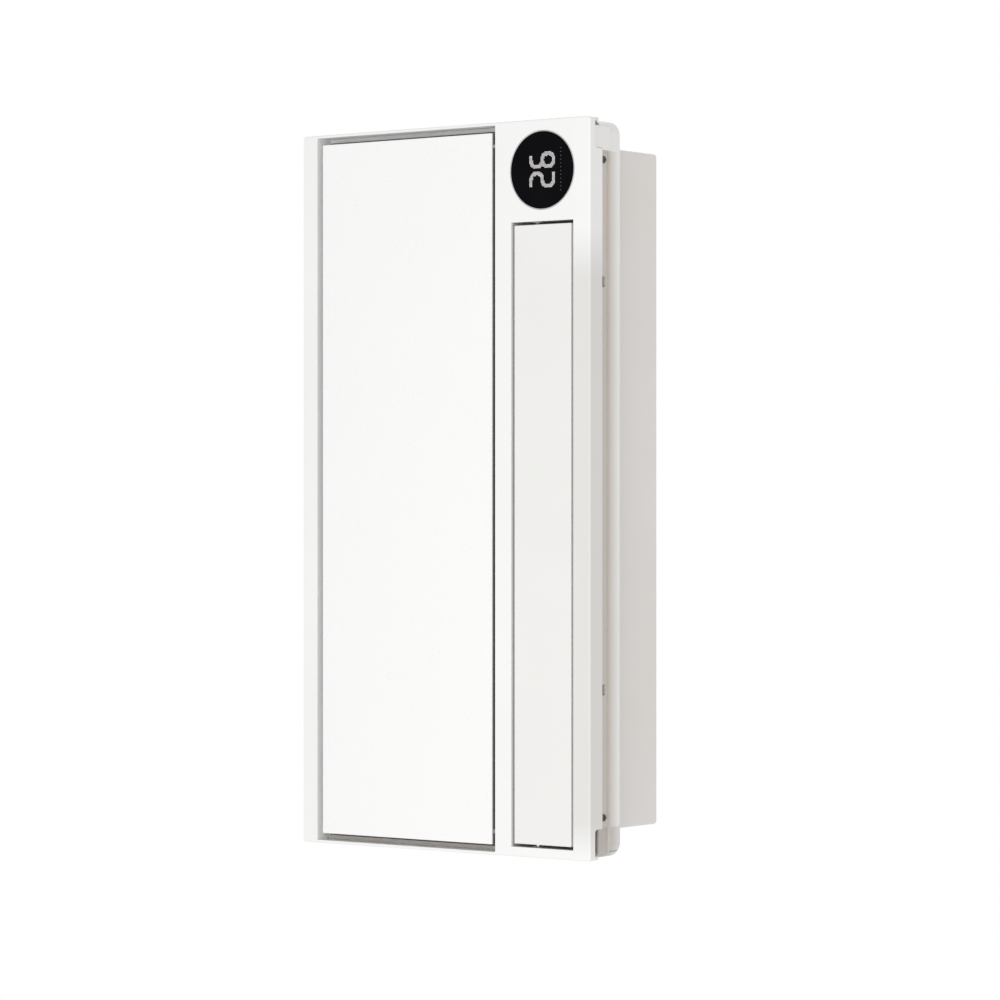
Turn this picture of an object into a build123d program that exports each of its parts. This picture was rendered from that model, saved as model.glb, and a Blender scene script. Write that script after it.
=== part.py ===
from build123d import *
import os
from math import acos, asin, atan2, cos, degrees, hypot, pi, radians, sin, sqrt

# A bathroom ceiling heater: a flat face with a lamp panel, a swinging louver and a round display,
# on a mounting tray that screws to the ceiling, with the fan and heater in a housing above it.
# All sizes are millimetres. X runs along the face towards the display, Y across it towards the
# louver, Z up into the ceiling. The origin is the middle of the four ceiling screws, on the tray's
# back plane, so the face looks down and lies at a negative Z.

# Face frame
FACE_LENGTH = 600.0
FACE_WIDTH = 300.0
FACE_WALL = 2.5
SKIRT_DEPTH = 18.0
FACE_CORNER_R = 2.5
FACE_EDGE_R = 1.4
BEVEL_WIDTH = 15.0
BEVEL_DROP = 0.9
OPENING_WALL = 1.6
LAMP_BORDER = 16.5
STRIP_WIDTH = 16.5
LOUVER_OPENING_WIDTH = 62.3
LOUVER_BORDER = 16.1
LOUVER_END_BORDER = 8.0
LOUVER_DISPLAY_GAP = 9.0
NOTCH_LENGTH = 25.0
NOTCH_HEIGHT = 10.0
NOTCH_R = 3.0
RIB_THICKNESS = 1.6
RIB_PITCH = 80.0
HARNESS_GAP = 10.0
HARNESS_LENGTH = 30.0

# Mounting tray
TRAY_DEPTH = 28.0
TRAY_INSET = 0.8
TRAY_CORNER_R = 12.0
TRAY_EDGE_R = 3.5
TRAY_WALL = 2.2
TRAY_PLATE = 2.5
GROOVE_DEPTH = 3.0
GROOVE_HEIGHT = 12.0
GROOVE_END = 26.3
CEILING_HOLE_R = 2.5
CEILING_HOLE_INSET = 10.2
CEILING_HOLE_SPACING = 200.0

# Housing
HOUSING_END_INSET = 20.5
HOUSING_SIDE_INSET = 22.0
HOUSING_HEIGHT = 82.0
HOUSING_SHEET = 1.0
HOUSING_CORNER_R = 3.0
FLANGE_WIDTH = 10.0
HOUSING_PANEL_INSET = 26.0
HOUSING_PANEL_DEPTH = 1.2

# Fastenings between the frame, the tray and the housing
FRAME_SCREW_INSET = 33.6
FRAME_SCREW_R = 1.5
FRAME_SCREW_HEAD_R = 2.9
FRAME_SCREW_LENGTH = 7.0
TAB_WIDTH = 10.0
TAB_THICKNESS = 2.0
HOOK_SPACING = 330.5
HOOK_OFFSET = 2.2
HOOK_WIDTH = 8.0
HOOK_DROP = 2.5
HOOK_RISE = 3.0
FLANGE_SCREW_R = 1.9
FLANGE_SCREW_HEAD_R = 3.6
FLANGE_SCREW_LENGTH = 7.5
FLANGE_SCREW_COUNT = 4

# Lamp panel
LAMP_END_GAP = 5.9
LAMP_CATCH_GAP = 5.2
LAMP_HINGE_GAP = 3.9
LAMP_RECESS = 0.5
LAMP_THICKNESS = 14.0
LAMP_SKIN = 2.0
LAMP_EDGE_R = 1.0
LAMP_GUIDE = 3.0
LAMP_BACK_SHEET = 0.8
LAMP_RIB_WIDTH = 12.0
LAMP_RIB_DEPTH = 1.6
LAMP_PIVOT_INSET = 3.5
LAMP_PIVOT_HEIGHT = 5.8
LAMP_HINGE_INSET = 10.6
LAMP_ARM_WIDTH = 3.0
LAMP_ARM_EYE_R = 2.7
LAMP_PIN_R = 1.5
LAMP_SLOT_CLEARANCE = 1.0
CATCH_INSET = 91.6
CATCH_LENGTH = 24.0
CATCH_GAP = 1.0
CATCH_SHEET = 1.5
GUSSET_REACH = 14.0
GUSSET_RISE = 8.0
GUSSET_THICKNESS = 2.0
MAGNET_LENGTH = 18.0
MAGNET_WIDTH = 9.0
MAGNET_HEIGHT = 3.5
MAGNET_INSET = 3.0

# Louver
LOUVER_GAP = 2.6
LOUVER_RECESS = 0.5
LOUVER_SKIN = 2.2
LOUVER_EDGE_HEIGHT = 5.5
LOUVER_EDGE_R = 0.8
LOUVER_PIVOT_INSET = 19.0
LOUVER_PIVOT_HEIGHT = 8.0
LOUVER_AXLE_R = 2.0
LOUVER_LUG_R = 4.6
LOUVER_LUG_WIDTH = 4.0
LOUVER_RIB_COUNT = 9
BUSH_R = 3.4
BUSH_FLANGE_R = 4.6
BUSH_FLANGE = 0.9

# Louver drive: a toothed sector on the louver and a pinion on a geared motor
GEAR_MODULE = 1.0
PINION_TEETH = 12
SECTOR_TEETH_FULL = 20
SECTOR_TEETH = 7
GEAR_WIDTH = 4.6
GEAR_SIDE_GAP = 0.7
TOOTH_THINNING = 0.28
LOUVER_MOTOR_R = 12.0
LOUVER_MOTOR_LENGTH = 17.0
MOTOR_PLATE = 1.2

# Outlet duct and heater block
DUCT_WALL = 1.5
DUCT_TOP = 34.0
HEATER_LENGTH = 304.0
HEATER_WIDTH = 48.0
HEATER_HEIGHT = 22.0
HEATER_RIM = 3.0
HEATER_BAR_WIDTH = 6.0
HEATER_BAR_COUNT = 2
FIN_PITCH = 7.0
FIN_SHEET = 0.4
PLENUM_SIDE = 10.0
PLENUM_SHEET = 1.2

# Display
DISPLAY_R = 32.5
DISPLAY_INSET = 41.3
DISPLAY_BEZEL = 1.0
DISPLAY_FLANGE = 2.5
DISPLAY_GLASS = 2.0
DISPLAY_BOARD_R = 27.0
DISPLAY_BOARD_GAP = 5.0
BOARD = 1.6

# Blower
FAN_INSET = 114.5
FAN_Y = -36.0
IMPELLER_R = 62.0
BLADE_CHORD = 12.0
BLADE_SHEET = 1.0
BLADE_COUNT = 30
BLADE_LEAN = 7.0
IMPELLER_HEIGHT = 46.0
IMPELLER_DISC = 1.6
IMPELLER_CLEARANCE = 6.0
HUB_R = 9.0
HUB_HEIGHT = 20.0
FAN_SHAFT_R = 3.0
SCROLL_GAP = 8.0
SCROLL_STEP = 8.0
SCROLL_WALL = 2.0
SCROLL_HEIGHT = 58.0
SCROLL_COVER = 2.0
SCROLL_OUTLET_REACH = 90.0
SCROLL_OUTLET_INSET = 49.6
INLET_STEP = 4.0
INLET_LIP = 4.0
INLET_SHEET = 1.4
FAN_MOTOR_R = 44.0
FAN_MOTOR_EAR = 2.0
FAN_MOTOR_HEIGHT = 17.0
MOTOR_END = 2.0
BEARING_R = 8.0
BEARING_WIDTH = 5.0
GRILLE_RIM = 16.0
GRILLE_SHEET = 2.0
GRILLE_SLOT = 6.0
GRILLE_BAR = 2.4

# Switching chamber with its damper
CHAMBER_LENGTH = 90.0
CHAMBER_WALL = 1.5
CHAMBER_HEATER_GAP = 9.5
CHAMBER_HEIGHT = 60.0
PORT_MARGIN = 8.0
DAMPER_LENGTH = 78.0
DAMPER_SHEET = 2.5
DAMPER_SWING = 40.0
DAMPER_BARREL_R = 4.0
DAMPER_SHAFT_R = 2.5
DAMPER_GAP = 2.0
DAMPER_MOTOR_R = 14.0
DAMPER_MOTOR_HEIGHT = 18.5

# Duct spigot with its back-draught flap
SPIGOT_R = 37.5
SPIGOT_Z = 40.0
SPIGOT_WALL = 1.5
SPIGOT_LENGTH = 35.0
SPIGOT_TAIL = 14.0
SPIGOT_FLANGE = 2.0
SPIGOT_FLANGE_MARGIN = 6.0
SPIGOT_SCREW_R = 1.2
SPIGOT_SCREW_LENGTH = 5.5
FLAP_SHEET = 1.4
FLAP_CLEARANCE = 0.8
FLAP_PIVOT_RISE = 8.0
FLAP_PIN_R = 1.5
FLAP_INSET = 9.0
FLAP_STOP = 3.0

# Electrics
BOX_END_INSET = 101.5
BOX_WIDTH = 96.0
BOX_HEIGHT = 46.0
BOX_WALL = 1.8
BOX_CORNER_R = 3.0
BOX_GAP = 31.0
BOX_Y = -44.0
BOX_FLOOR_HEIGHT = 8.0
POST_R = 3.0
POST_INSET = 10.0
DRIVER_INSET = 8.0
DRIVER_END_INSET = 6.0
DRIVER_GAP = 12.0
DRIVER_FOOT = 8.0
DRIVER_CORNER_R = 2.0
DRIVER_WIDTH = 38.0
DRIVER_HEIGHT = 26.0
BOARD_INSET = 4.0
BOARD_Z = 7.0
RELAY_INSET = 14.0
RELAY_LENGTH = 16.0
RELAY_WIDTH = 12.0
RELAY_HEIGHT = 15.0
TRANSFORMER_LENGTH = 32.0
TRANSFORMER_WIDTH = 26.0
TRANSFORMER_HEIGHT = 26.0
CAPACITOR_INSET = 24.0
CAPACITOR_R = 8.0
CAPACITOR_HEIGHT = 24.0
PLUG_PITCH = 15.0
PLUG_LENGTH = 11.0
PLUG_HEIGHT = 9.0
VENT_INSET = 22.0
VENT_PITCH = 9.0
VENT_WIDTH = 4.0
VENT_LENGTH = 30.0
TERMINAL_COUNT = 5
TERMINAL_INSET = 26.0
TERMINAL_WIDTH = 20.0
TERMINAL_HEIGHT = 16.0
TERMINAL_HOLE_R = 2.4
TERMINAL_HOLE_DEPTH = 6.0
TERMINAL_SLOT = 5.2
TERMINAL_FLOOR = 2.0
TERMINAL_PITCH = 9.0
GLAND_BORE_R = 5.0
GLAND_R = 9.6
GLAND_HEX = 22.0
GLAND_LENGTH = 24.0
GLAND_INSET = 53.5
GLAND_Z = 40.0

# Running clearances
PIN_CLEARANCE = 0.05
PART_GAP = 0.3

# Levels and edges worked out from the sizes above
HOUSING_LENGTH = FACE_LENGTH - 2 * HOUSING_END_INSET
HOUSING_WIDTH = FACE_WIDTH - 2 * HOUSING_SIDE_INSET
Z_FACE = -(SKIRT_DEPTH + TRAY_DEPTH)
Z_SKIRT = -TRAY_DEPTH
Z_PLATE = -TRAY_PLATE
Z_INSIDE = Z_FACE + FACE_WALL
HALF_LENGTH = FACE_LENGTH / 2
HALF_WIDTH = FACE_WIDTH / 2
LAMP_Y0 = -HALF_WIDTH + LAMP_BORDER
LOUVER_Y1 = HALF_WIDTH - LOUVER_BORDER
LOUVER_Y0 = LOUVER_Y1 - LOUVER_OPENING_WIDTH
LAMP_Y1 = LOUVER_Y0 - STRIP_WIDTH
LOUVER_X0 = -HALF_LENGTH + LOUVER_END_BORDER
DISPLAY_X = HALF_LENGTH - DISPLAY_INSET
LOUVER_X1 = DISPLAY_X - DISPLAY_R - LOUVER_DISPLAY_GAP
LAMP_HALF = HALF_LENGTH - FACE_WALL - LAMP_END_GAP
PANEL_Y0 = LAMP_Y0 + LAMP_CATCH_GAP
PANEL_Y1 = LAMP_Y1 - LAMP_HINGE_GAP
PANEL_Z0 = Z_FACE + LAMP_RECESS
PANEL_Z1 = PANEL_Z0 + LAMP_THICKNESS
LAMP_PIVOT_Y = PANEL_Y1 - LAMP_PIVOT_INSET
LAMP_PIVOT_Z = Z_FACE + LAMP_PIVOT_HEIGHT
LAMP_HINGE_X = LAMP_HALF - LAMP_HINGE_INSET
TRAY_HALF_LENGTH = HALF_LENGTH - TRAY_INSET
TRAY_HALF_WIDTH = HALF_WIDTH - TRAY_INSET
GROOVE_Y = TRAY_HALF_WIDTH - GROOVE_DEPTH
TRAY_INNER_Y = GROOVE_Y - TRAY_WALL
TRAY_INNER_X = TRAY_HALF_LENGTH - TRAY_WALL - 2.5
GROOVE_X1 = HALF_LENGTH - GROOVE_END
GROOVE_TOP = Z_SKIRT + GROOVE_HEIGHT
FRAME_SCREW_X = HALF_LENGTH - FRAME_SCREW_INSET
FRAME_SCREW_Z = Z_SKIRT + GROOVE_HEIGHT / 2
HOOK_Z = FRAME_SCREW_Z
CEILING_HOLE_X = TRAY_HALF_LENGTH - CEILING_HOLE_INSET
VANE_X0 = LOUVER_X0 + LOUVER_GAP
VANE_X1 = LOUVER_X1 - LOUVER_GAP
VANE_Y0 = LOUVER_Y0 + LOUVER_GAP
VANE_Y1 = LOUVER_Y1 - LOUVER_GAP
VANE_Z = Z_FACE + LOUVER_RECESS
LOUVER_PIVOT_Y = VANE_Y0 + LOUVER_PIVOT_INSET
LOUVER_PIVOT_Z = Z_FACE + LOUVER_PIVOT_HEIGHT
DISPLAY_Y = (LOUVER_Y0 + LOUVER_Y1) / 2
DUCT_Z1 = Z_FACE + DUCT_TOP
FAN_X = -HOUSING_LENGTH / 2 + FAN_INSET
INLET_R = IMPELLER_R - BLADE_CHORD - INLET_STEP
SCROLL_R = IMPELLER_R + SCROLL_GAP
SCROLL_OUTLET_X = FAN_X + SCROLL_OUTLET_REACH
GRILLE_R = INLET_R + INLET_LIP + GRILLE_RIM
CHAMBER_X0 = SCROLL_OUTLET_X
CHAMBER_X1 = CHAMBER_X0 + CHAMBER_LENGTH
CHAMBER_X = (CHAMBER_X0 + CHAMBER_X1) / 2
HEATER_X0 = CHAMBER_X - HEATER_LENGTH / 2
HEATER_X1 = CHAMBER_X + HEATER_LENGTH / 2
HEATER_Y1 = HOUSING_WIDTH / 2 - HOUSING_SHEET - PLENUM_SHEET - 0.8
HEATER_Y0 = HEATER_Y1 - HEATER_WIDTH
CHAMBER_BACK_Y = HEATER_Y0 - CHAMBER_HEATER_GAP
HEATER_Z0 = DUCT_Z1
HEATER_Z1 = HEATER_Z0 + HEATER_HEIGHT
FAN_Z0 = IMPELLER_CLEARANCE
FAN_Z1 = FAN_Z0 + IMPELLER_HEIGHT
SCROLL_C1_X = FAN_X + SCROLL_STEP / 2
SCROLL_C1_Y = FAN_Y - SCROLL_STEP / 2
SCROLL_OUTLET_Y0 = FAN_Y + SCROLL_OUTLET_INSET
SCROLL_TOP = SCROLL_HEIGHT + SCROLL_COVER
DAMPER_X = CHAMBER_X1 - CHAMBER_WALL - DAMPER_BARREL_R - DAMPER_GAP
DAMPER_Y = CHAMBER_BACK_Y - CHAMBER_WALL - DAMPER_BARREL_R - DAMPER_GAP
DAMPER_TIP_Y = DAMPER_Y - DAMPER_LENGTH * sin(radians(DAMPER_SWING))
DAMPER_TIP_X = DAMPER_X - DAMPER_LENGTH * cos(radians(DAMPER_SWING))
SPIGOT_X = CHAMBER_X
SPIGOT_Y1 = -HOUSING_WIDTH / 2
FLAP_Y = SPIGOT_Y1 + FLAP_INSET
FLAP_Z = SPIGOT_Z + FLAP_PIVOT_RISE
PINION_DISTANCE = GEAR_MODULE * (PINION_TEETH + SECTOR_TEETH_FULL) / 2
PINION_Z = LOUVER_PIVOT_Z + PINION_DISTANCE
GEAR_X0 = LOUVER_X1 + DUCT_WALL + GEAR_SIDE_GAP
GEAR_X1 = GEAR_X0 + GEAR_WIDTH
MOTOR_PLATE_X = GEAR_X1 + GEAR_SIDE_GAP
BOX_X = CHAMBER_X1 + BOX_GAP
BOX_LENGTH = HOUSING_LENGTH / 2 - BOX_END_INSET - BOX_X
GLAND_X = HOUSING_LENGTH / 2 - GLAND_INSET
CATCH_X = LAMP_HALF - CATCH_INSET


def block(x0, x1, y0, y1, z0, z1):
    """A box between two corners."""
    return Pos((x0 + x1) / 2, (y0 + y1) / 2, (z0 + z1) / 2) * Box(x1 - x0, y1 - y0, z1 - z0)


def rod_x(radius, x0, x1, y, z):
    """A round bar along X."""
    return Pos((x0 + x1) / 2, y, z) * Rot(0, 90, 0) * Cylinder(radius, x1 - x0)


def rod_y(radius, x, y0, y1, z):
    """A round bar along Y."""
    return Pos(x, (y0 + y1) / 2, z) * Rot(90, 0, 0) * Cylinder(radius, y1 - y0)


def rod_z(radius, x, y, z0, z1):
    """A round bar along Z."""
    return Pos(x, y, (z0 + z1) / 2) * Cylinder(radius, z1 - z0)


def tube_z(outer, inner, x, y, z0, z1):
    """A round tube along Z."""
    return rod_z(outer, x, y, z0, z1) - rod_z(inner, x, y, z0, z1)


def along_x(points, x0, x1):
    """A prism along X whose section is given by (y, z) points."""
    section = make_face(Polyline(*points, close=True))
    return extrude(Plane.YZ.offset(x0) * section, amount=x1 - x0)


def rounded_block(x0, x1, y0, y1, z0, z1, radius):
    """A box with its four upright edges rounded."""
    section = RectangleRounded(x1 - x0, y1 - y0, radius)
    return Pos((x0 + x1) / 2, (y0 + y1) / 2, z0) * extrude(section, amount=z1 - z0)


def mirrored_y(piece):
    """A piece and its mirror image across the XZ plane."""
    return [piece, mirror(piece, about=Plane.XZ)]


def union(pieces):
    """One shape out of pieces that touch or overlap."""
    first = pieces[0]
    return first.fuse(*pieces[1:]) if len(pieces) > 1 else first


def group(pieces):
    """Separate solids that share one node."""
    return Compound(children=[solid for piece in pieces for solid in piece.solids()])


# Face frame, tray and housing

def skirt_notches():
    """The cut-backs at the rear of the skirt, at the four corners."""
    cuts = []
    for end in (-1, 1):
        x_in = end * (HALF_LENGTH - NOTCH_LENGTH)
        x_out = end * (HALF_LENGTH + 1)
        cut = block(min(x_in, x_out), max(x_in, x_out), HALF_WIDTH - FACE_WALL - 1.5,
                    HALF_WIDTH + 1, Z_SKIRT - NOTCH_HEIGHT, Z_SKIRT + 1)
        corner = cut.edges().filter_by(Axis.Y).sort_by_distance((x_in, 0, Z_SKIRT - NOTCH_HEIGHT))[:1]
        cuts += mirrored_y(fillet(corner, NOTCH_R))
    return cuts


def hook_places():
    """Where the snap hooks stand along each long side."""
    return [HOOK_OFFSET - HOOK_SPACING / 2, HOOK_OFFSET + HOOK_SPACING / 2]


def frame_tabs():
    """Upright tabs behind the skirt: screw tabs near the corners and snap hooks between them."""
    y1 = TRAY_INNER_Y - PART_GAP
    y0 = y1 - TAB_THICKNESS
    tabs = []
    for x in (-FRAME_SCREW_X, FRAME_SCREW_X):
        tab = block(x - TAB_WIDTH / 2, x + TAB_WIDTH / 2, y0, y1, Z_INSIDE, GROOVE_TOP)
        gusset = along_x([(y0, Z_INSIDE), (y0 - 3, Z_INSIDE), (y0, Z_SKIRT)], x - 1, x + 1)
        tabs += mirrored_y(tab - rod_y(FRAME_SCREW_R, x, y0 - 1, y1 + 1, FRAME_SCREW_Z) + gusset)
    z_low, z_high = HOOK_Z - HOOK_DROP, HOOK_Z + HOOK_RISE
    nose = [(y1, z_low), (y1 + TRAY_WALL + 2 * PART_GAP, z_low), (y1, z_high)]
    for x in hook_places():
        stem = block(x - HOOK_WIDTH / 2, x + HOOK_WIDTH / 2, y0, y1, Z_INSIDE, HOOK_Z + HOOK_RISE)
        tabs += mirrored_y(stem + along_x(nose, x - HOOK_WIDTH / 2, x + HOOK_WIDTH / 2))
    return tabs


def face_frame():
    """The moulded face: two openings, the display hole, a skirt with notched corners."""
    bevel_y = HALF_WIDTH - BEVEL_WIDTH
    section = [(-HALF_WIDTH, Z_SKIRT), (-HALF_WIDTH, Z_FACE + BEVEL_DROP), (-bevel_y, Z_FACE),
               (bevel_y, Z_FACE), (HALF_WIDTH, Z_FACE + BEVEL_DROP), (HALF_WIDTH, Z_SKIRT)]
    body = along_x(section, -HALF_LENGTH, HALF_LENGTH)
    body = fillet(body.edges().filter_by(Axis.Z), FACE_CORNER_R)
    long_edges = body.edges().filter_by(Axis.X).filter_by_position(
        Axis.Z, Z_FACE + BEVEL_DROP - 0.1, Z_FACE + BEVEL_DROP + 0.1)
    body = fillet(long_edges, FACE_EDGE_R)
    body -= block(-HALF_LENGTH + FACE_WALL, HALF_LENGTH - FACE_WALL, -HALF_WIDTH + FACE_WALL,
                  HALF_WIDTH - FACE_WALL, Z_INSIDE, Z_SKIRT + 1)
    inner_x = HALF_LENGTH - FACE_WALL
    walls = [block(-inner_x, inner_x, LAMP_Y0 - OPENING_WALL, LAMP_Y0, Z_INSIDE, Z_SKIRT),
             block(-inner_x, inner_x, LAMP_Y1, LAMP_Y1 + OPENING_WALL, Z_INSIDE, Z_SKIRT)]
    half = RIB_THICKNESS / 2
    steps = int((HALF_LENGTH - NOTCH_LENGTH) / RIB_PITCH)
    ribs = [block(i * RIB_PITCH - half, i * RIB_PITCH + half, LOUVER_Y1 + DUCT_WALL + PART_GAP,
                  HALF_WIDTH - FACE_WALL, Z_INSIDE, Z_SKIRT - NOTCH_HEIGHT) for i in range(-steps, steps + 1)]
    rib_x = LOUVER_X1 + HARNESS_GAP + HARNESS_LENGTH
    end_rib = block(rib_x, rib_x + RIB_THICKNESS, LAMP_Y1, DISPLAY_Y - DISPLAY_R - 3, Z_INSIDE,
                    Z_SKIRT - NOTCH_HEIGHT)
    body = union([body] + walls + ribs + [end_rib] + frame_tabs())
    body -= block(-inner_x, inner_x, LAMP_Y0, LAMP_Y1, Z_FACE - 1, Z_INSIDE)
    body -= block(LOUVER_X0, LOUVER_X1, LOUVER_Y0, LOUVER_Y1, Z_FACE - 1, Z_INSIDE)
    body -= rod_z(DISPLAY_R, DISPLAY_X, DISPLAY_Y, Z_FACE - 1, Z_INSIDE)
    for cut in skirt_notches():
        body -= cut
    return body


def ceiling_holes():
    """The centres of the four ceiling screws."""
    return [(sx * CEILING_HOLE_X, sy * CEILING_HOLE_SPACING / 2) for sx in (-1, 1) for sy in (-1, 1)]


def flange_screw_places():
    """The centres of the screws through the housing's two flanges."""
    y = HOUSING_WIDTH / 2 + FLANGE_WIDTH / 2
    pitch = (HOUSING_LENGTH - 60) / (FLANGE_SCREW_COUNT - 1)
    xs = [-(HOUSING_LENGTH - 60) / 2 + i * pitch for i in range(FLANGE_SCREW_COUNT)]
    return [(x, side * y) for side in (-1, 1) for x in xs]


def mounting_tray():
    """The tray behind the face: a grooved rim, a back plate and the corners that fill the notches."""
    body = rounded_block(-TRAY_HALF_LENGTH, TRAY_HALF_LENGTH, -TRAY_HALF_WIDTH, TRAY_HALF_WIDTH,
                         Z_SKIRT, 0, TRAY_CORNER_R)
    body = fillet(body.faces().sort_by(Axis.Z)[-1].edges(), TRAY_EDGE_R)
    for groove in mirrored_y(block(-HALF_LENGTH, GROOVE_X1, GROOVE_Y, HALF_WIDTH, Z_SKIRT - 1, GROOVE_TOP)):
        body -= groove
    body -= block(-TRAY_INNER_X, TRAY_INNER_X, -TRAY_INNER_Y, TRAY_INNER_Y, Z_SKIRT - 1, Z_PLATE)
    hollow_y = TRAY_INNER_Y + GROOVE_DEPTH
    body -= block(-TRAY_INNER_X, GROOVE_X1 - TRAY_WALL, -hollow_y, hollow_y, GROOVE_TOP + TRAY_WALL, Z_PLATE)
    fill_x0 = HALF_LENGTH - NOTCH_LENGTH + PART_GAP
    fill = block(fill_x0, TRAY_HALF_LENGTH - TRAY_CORNER_R / 2, HALF_WIDTH - FACE_WALL,
                 HALF_WIDTH - PART_GAP, Z_SKIRT - NOTCH_HEIGHT + PART_GAP, Z_SKIRT)
    fill = fillet(fill.edges().filter_by(Axis.Y).sort_by_distance((fill_x0, 0, Z_FACE))[:1], NOTCH_R)
    cap = block(GROOVE_X1, TRAY_HALF_LENGTH - TRAY_CORNER_R / 2, HALF_WIDTH - FACE_WALL - 2,
                HALF_WIDTH - PART_GAP, Z_SKIRT, GROOVE_TOP)
    body = union([body] + mirrored_y(fill) + mirrored_y(cap))
    for x, y in ceiling_holes():
        body -= rod_z(CEILING_HOLE_R, x, y, Z_PLATE - 1, 1)
    for x, y in flange_screw_places():
        body -= rod_z(FLANGE_SCREW_R, x, y, Z_PLATE - 1, 1)
    for x in (-FRAME_SCREW_X, FRAME_SCREW_X):
        for hole in mirrored_y(rod_y(FRAME_SCREW_R, x, TRAY_INNER_Y - 1, GROOVE_Y + 1, FRAME_SCREW_Z)):
            body -= hole
    for x in hook_places():
        half = HOOK_WIDTH / 2 + PART_GAP
        window = block(x - half, x + half, TRAY_INNER_Y - 1, GROOVE_Y + 1,
                       HOOK_Z - HOOK_DROP - PART_GAP, HOOK_Z + HOOK_RISE + PART_GAP)
        for cut in mirrored_y(window):
            body -= cut
    body -= rod_z(INLET_R + INLET_LIP + 1.5, FAN_X, FAN_Y, Z_PLATE - 1, 1)
    body -= block(HEATER_X0, HEATER_X1, HEATER_Y0, HEATER_Y1, Z_PLATE - 1, 1)
    harness_x = LOUVER_X1 + HARNESS_GAP
    body -= block(harness_x, harness_x + HARNESS_LENGTH, LOUVER_Y0 - HARNESS_LENGTH, LOUVER_Y0,
                  Z_PLATE - 1, 1)
    return body


def housing():
    """The sheet housing over the works: a five-sided box with screw flanges and a pressed top."""
    half_l, half_w = HOUSING_LENGTH / 2, HOUSING_WIDTH / 2
    body = rounded_block(-half_l, half_l, -half_w, half_w, 0, HOUSING_HEIGHT, HOUSING_CORNER_R)
    body = fillet(body.faces().sort_by(Axis.Z)[-1].edges(), HOUSING_SHEET + 0.6)
    inner = rounded_block(-half_l + HOUSING_SHEET, half_l - HOUSING_SHEET, -half_w + HOUSING_SHEET,
                          half_w - HOUSING_SHEET, -1, HOUSING_HEIGHT - HOUSING_SHEET,
                          HOUSING_CORNER_R - HOUSING_SHEET)
    body -= inner
    panel_x = half_l - HOUSING_PANEL_INSET
    panel_y = half_w - HOUSING_PANEL_INSET
    top = HOUSING_HEIGHT
    dish = rounded_block(-panel_x, panel_x, -panel_y, panel_y, top - HOUSING_PANEL_DEPTH, top + 1, 12)
    under = rounded_block(-panel_x - 1, panel_x + 1, -panel_y - 1, panel_y + 1,
                          top - HOUSING_PANEL_DEPTH - HOUSING_SHEET, top - HOUSING_SHEET, 13)
    body = union([body, under]) - dish
    flange = block(-half_l + 12, half_l - 12, half_w - HOUSING_SHEET, half_w + FLANGE_WIDTH, 0,
                   HOUSING_SHEET)
    body = union([body] + mirrored_y(flange))
    for x, y in flange_screw_places():
        body -= rod_z(FLANGE_SCREW_R, x, y, -1, HOUSING_SHEET + 1)
    body -= rod_y(SPIGOT_R, SPIGOT_X, -half_w - 1, -half_w + 5, SPIGOT_Z)
    body -= rod_y(GLAND_R, GLAND_X, -half_w - 1, -half_w + 5, GLAND_Z)
    for hole in spigot_screw_holes():
        body -= hole
    return body


def screw(head_r, head_h, shank_r, length):
    """A pan-head screw pointing down, its head's seat at the origin."""
    head = Pos(0, 0, head_h / 2) * Cylinder(head_r, head_h)
    head = fillet(head.edges().sort_by(Axis.Z)[-1], head_h * 0.6)
    drive = Pos(0, 0, head_h) * Box(head_r * 1.1, head_r * 0.25, head_h * 0.8)
    drive += Pos(0, 0, head_h) * Box(head_r * 0.25, head_r * 1.1, head_h * 0.8)
    return head - drive + Pos(0, 0, -length / 2) * Cylinder(shank_r, length)


def frame_screws():
    """Four screws in the grooves, through the tray's wall into the frame's tabs."""
    one = screw(FRAME_SCREW_HEAD_R, 1.8, FRAME_SCREW_R, FRAME_SCREW_LENGTH)
    placed = []
    for x in (-FRAME_SCREW_X, FRAME_SCREW_X):
        placed += mirrored_y(Pos(x, GROOVE_Y, FRAME_SCREW_Z) * Rot(-90, 0, 0) * one)
    return group(placed)


def flange_screws():
    """Eight screws that hold the housing's flanges on the tray."""
    one = screw(FLANGE_SCREW_HEAD_R, 2.2, FLANGE_SCREW_R, FLANGE_SCREW_LENGTH)
    return group([Pos(x, y, HOUSING_SHEET) * one for x, y in flange_screw_places()])


# Lamp panel

def lamp_slots(x_half):
    """The slots behind the front skin that clear the hinge arms while the panel swings."""
    cuts = []
    for side in (-1, 1):
        x = side * LAMP_HINGE_X
        cuts.append(block(x - x_half, x + x_half, LAMP_PIVOT_Y - LAMP_ARM_EYE_R - LAMP_SLOT_CLEARANCE,
                          PANEL_Y1 + 1, PANEL_Z0 + LAMP_SKIN, PANEL_Z1 + 1))
    return cuts


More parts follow.
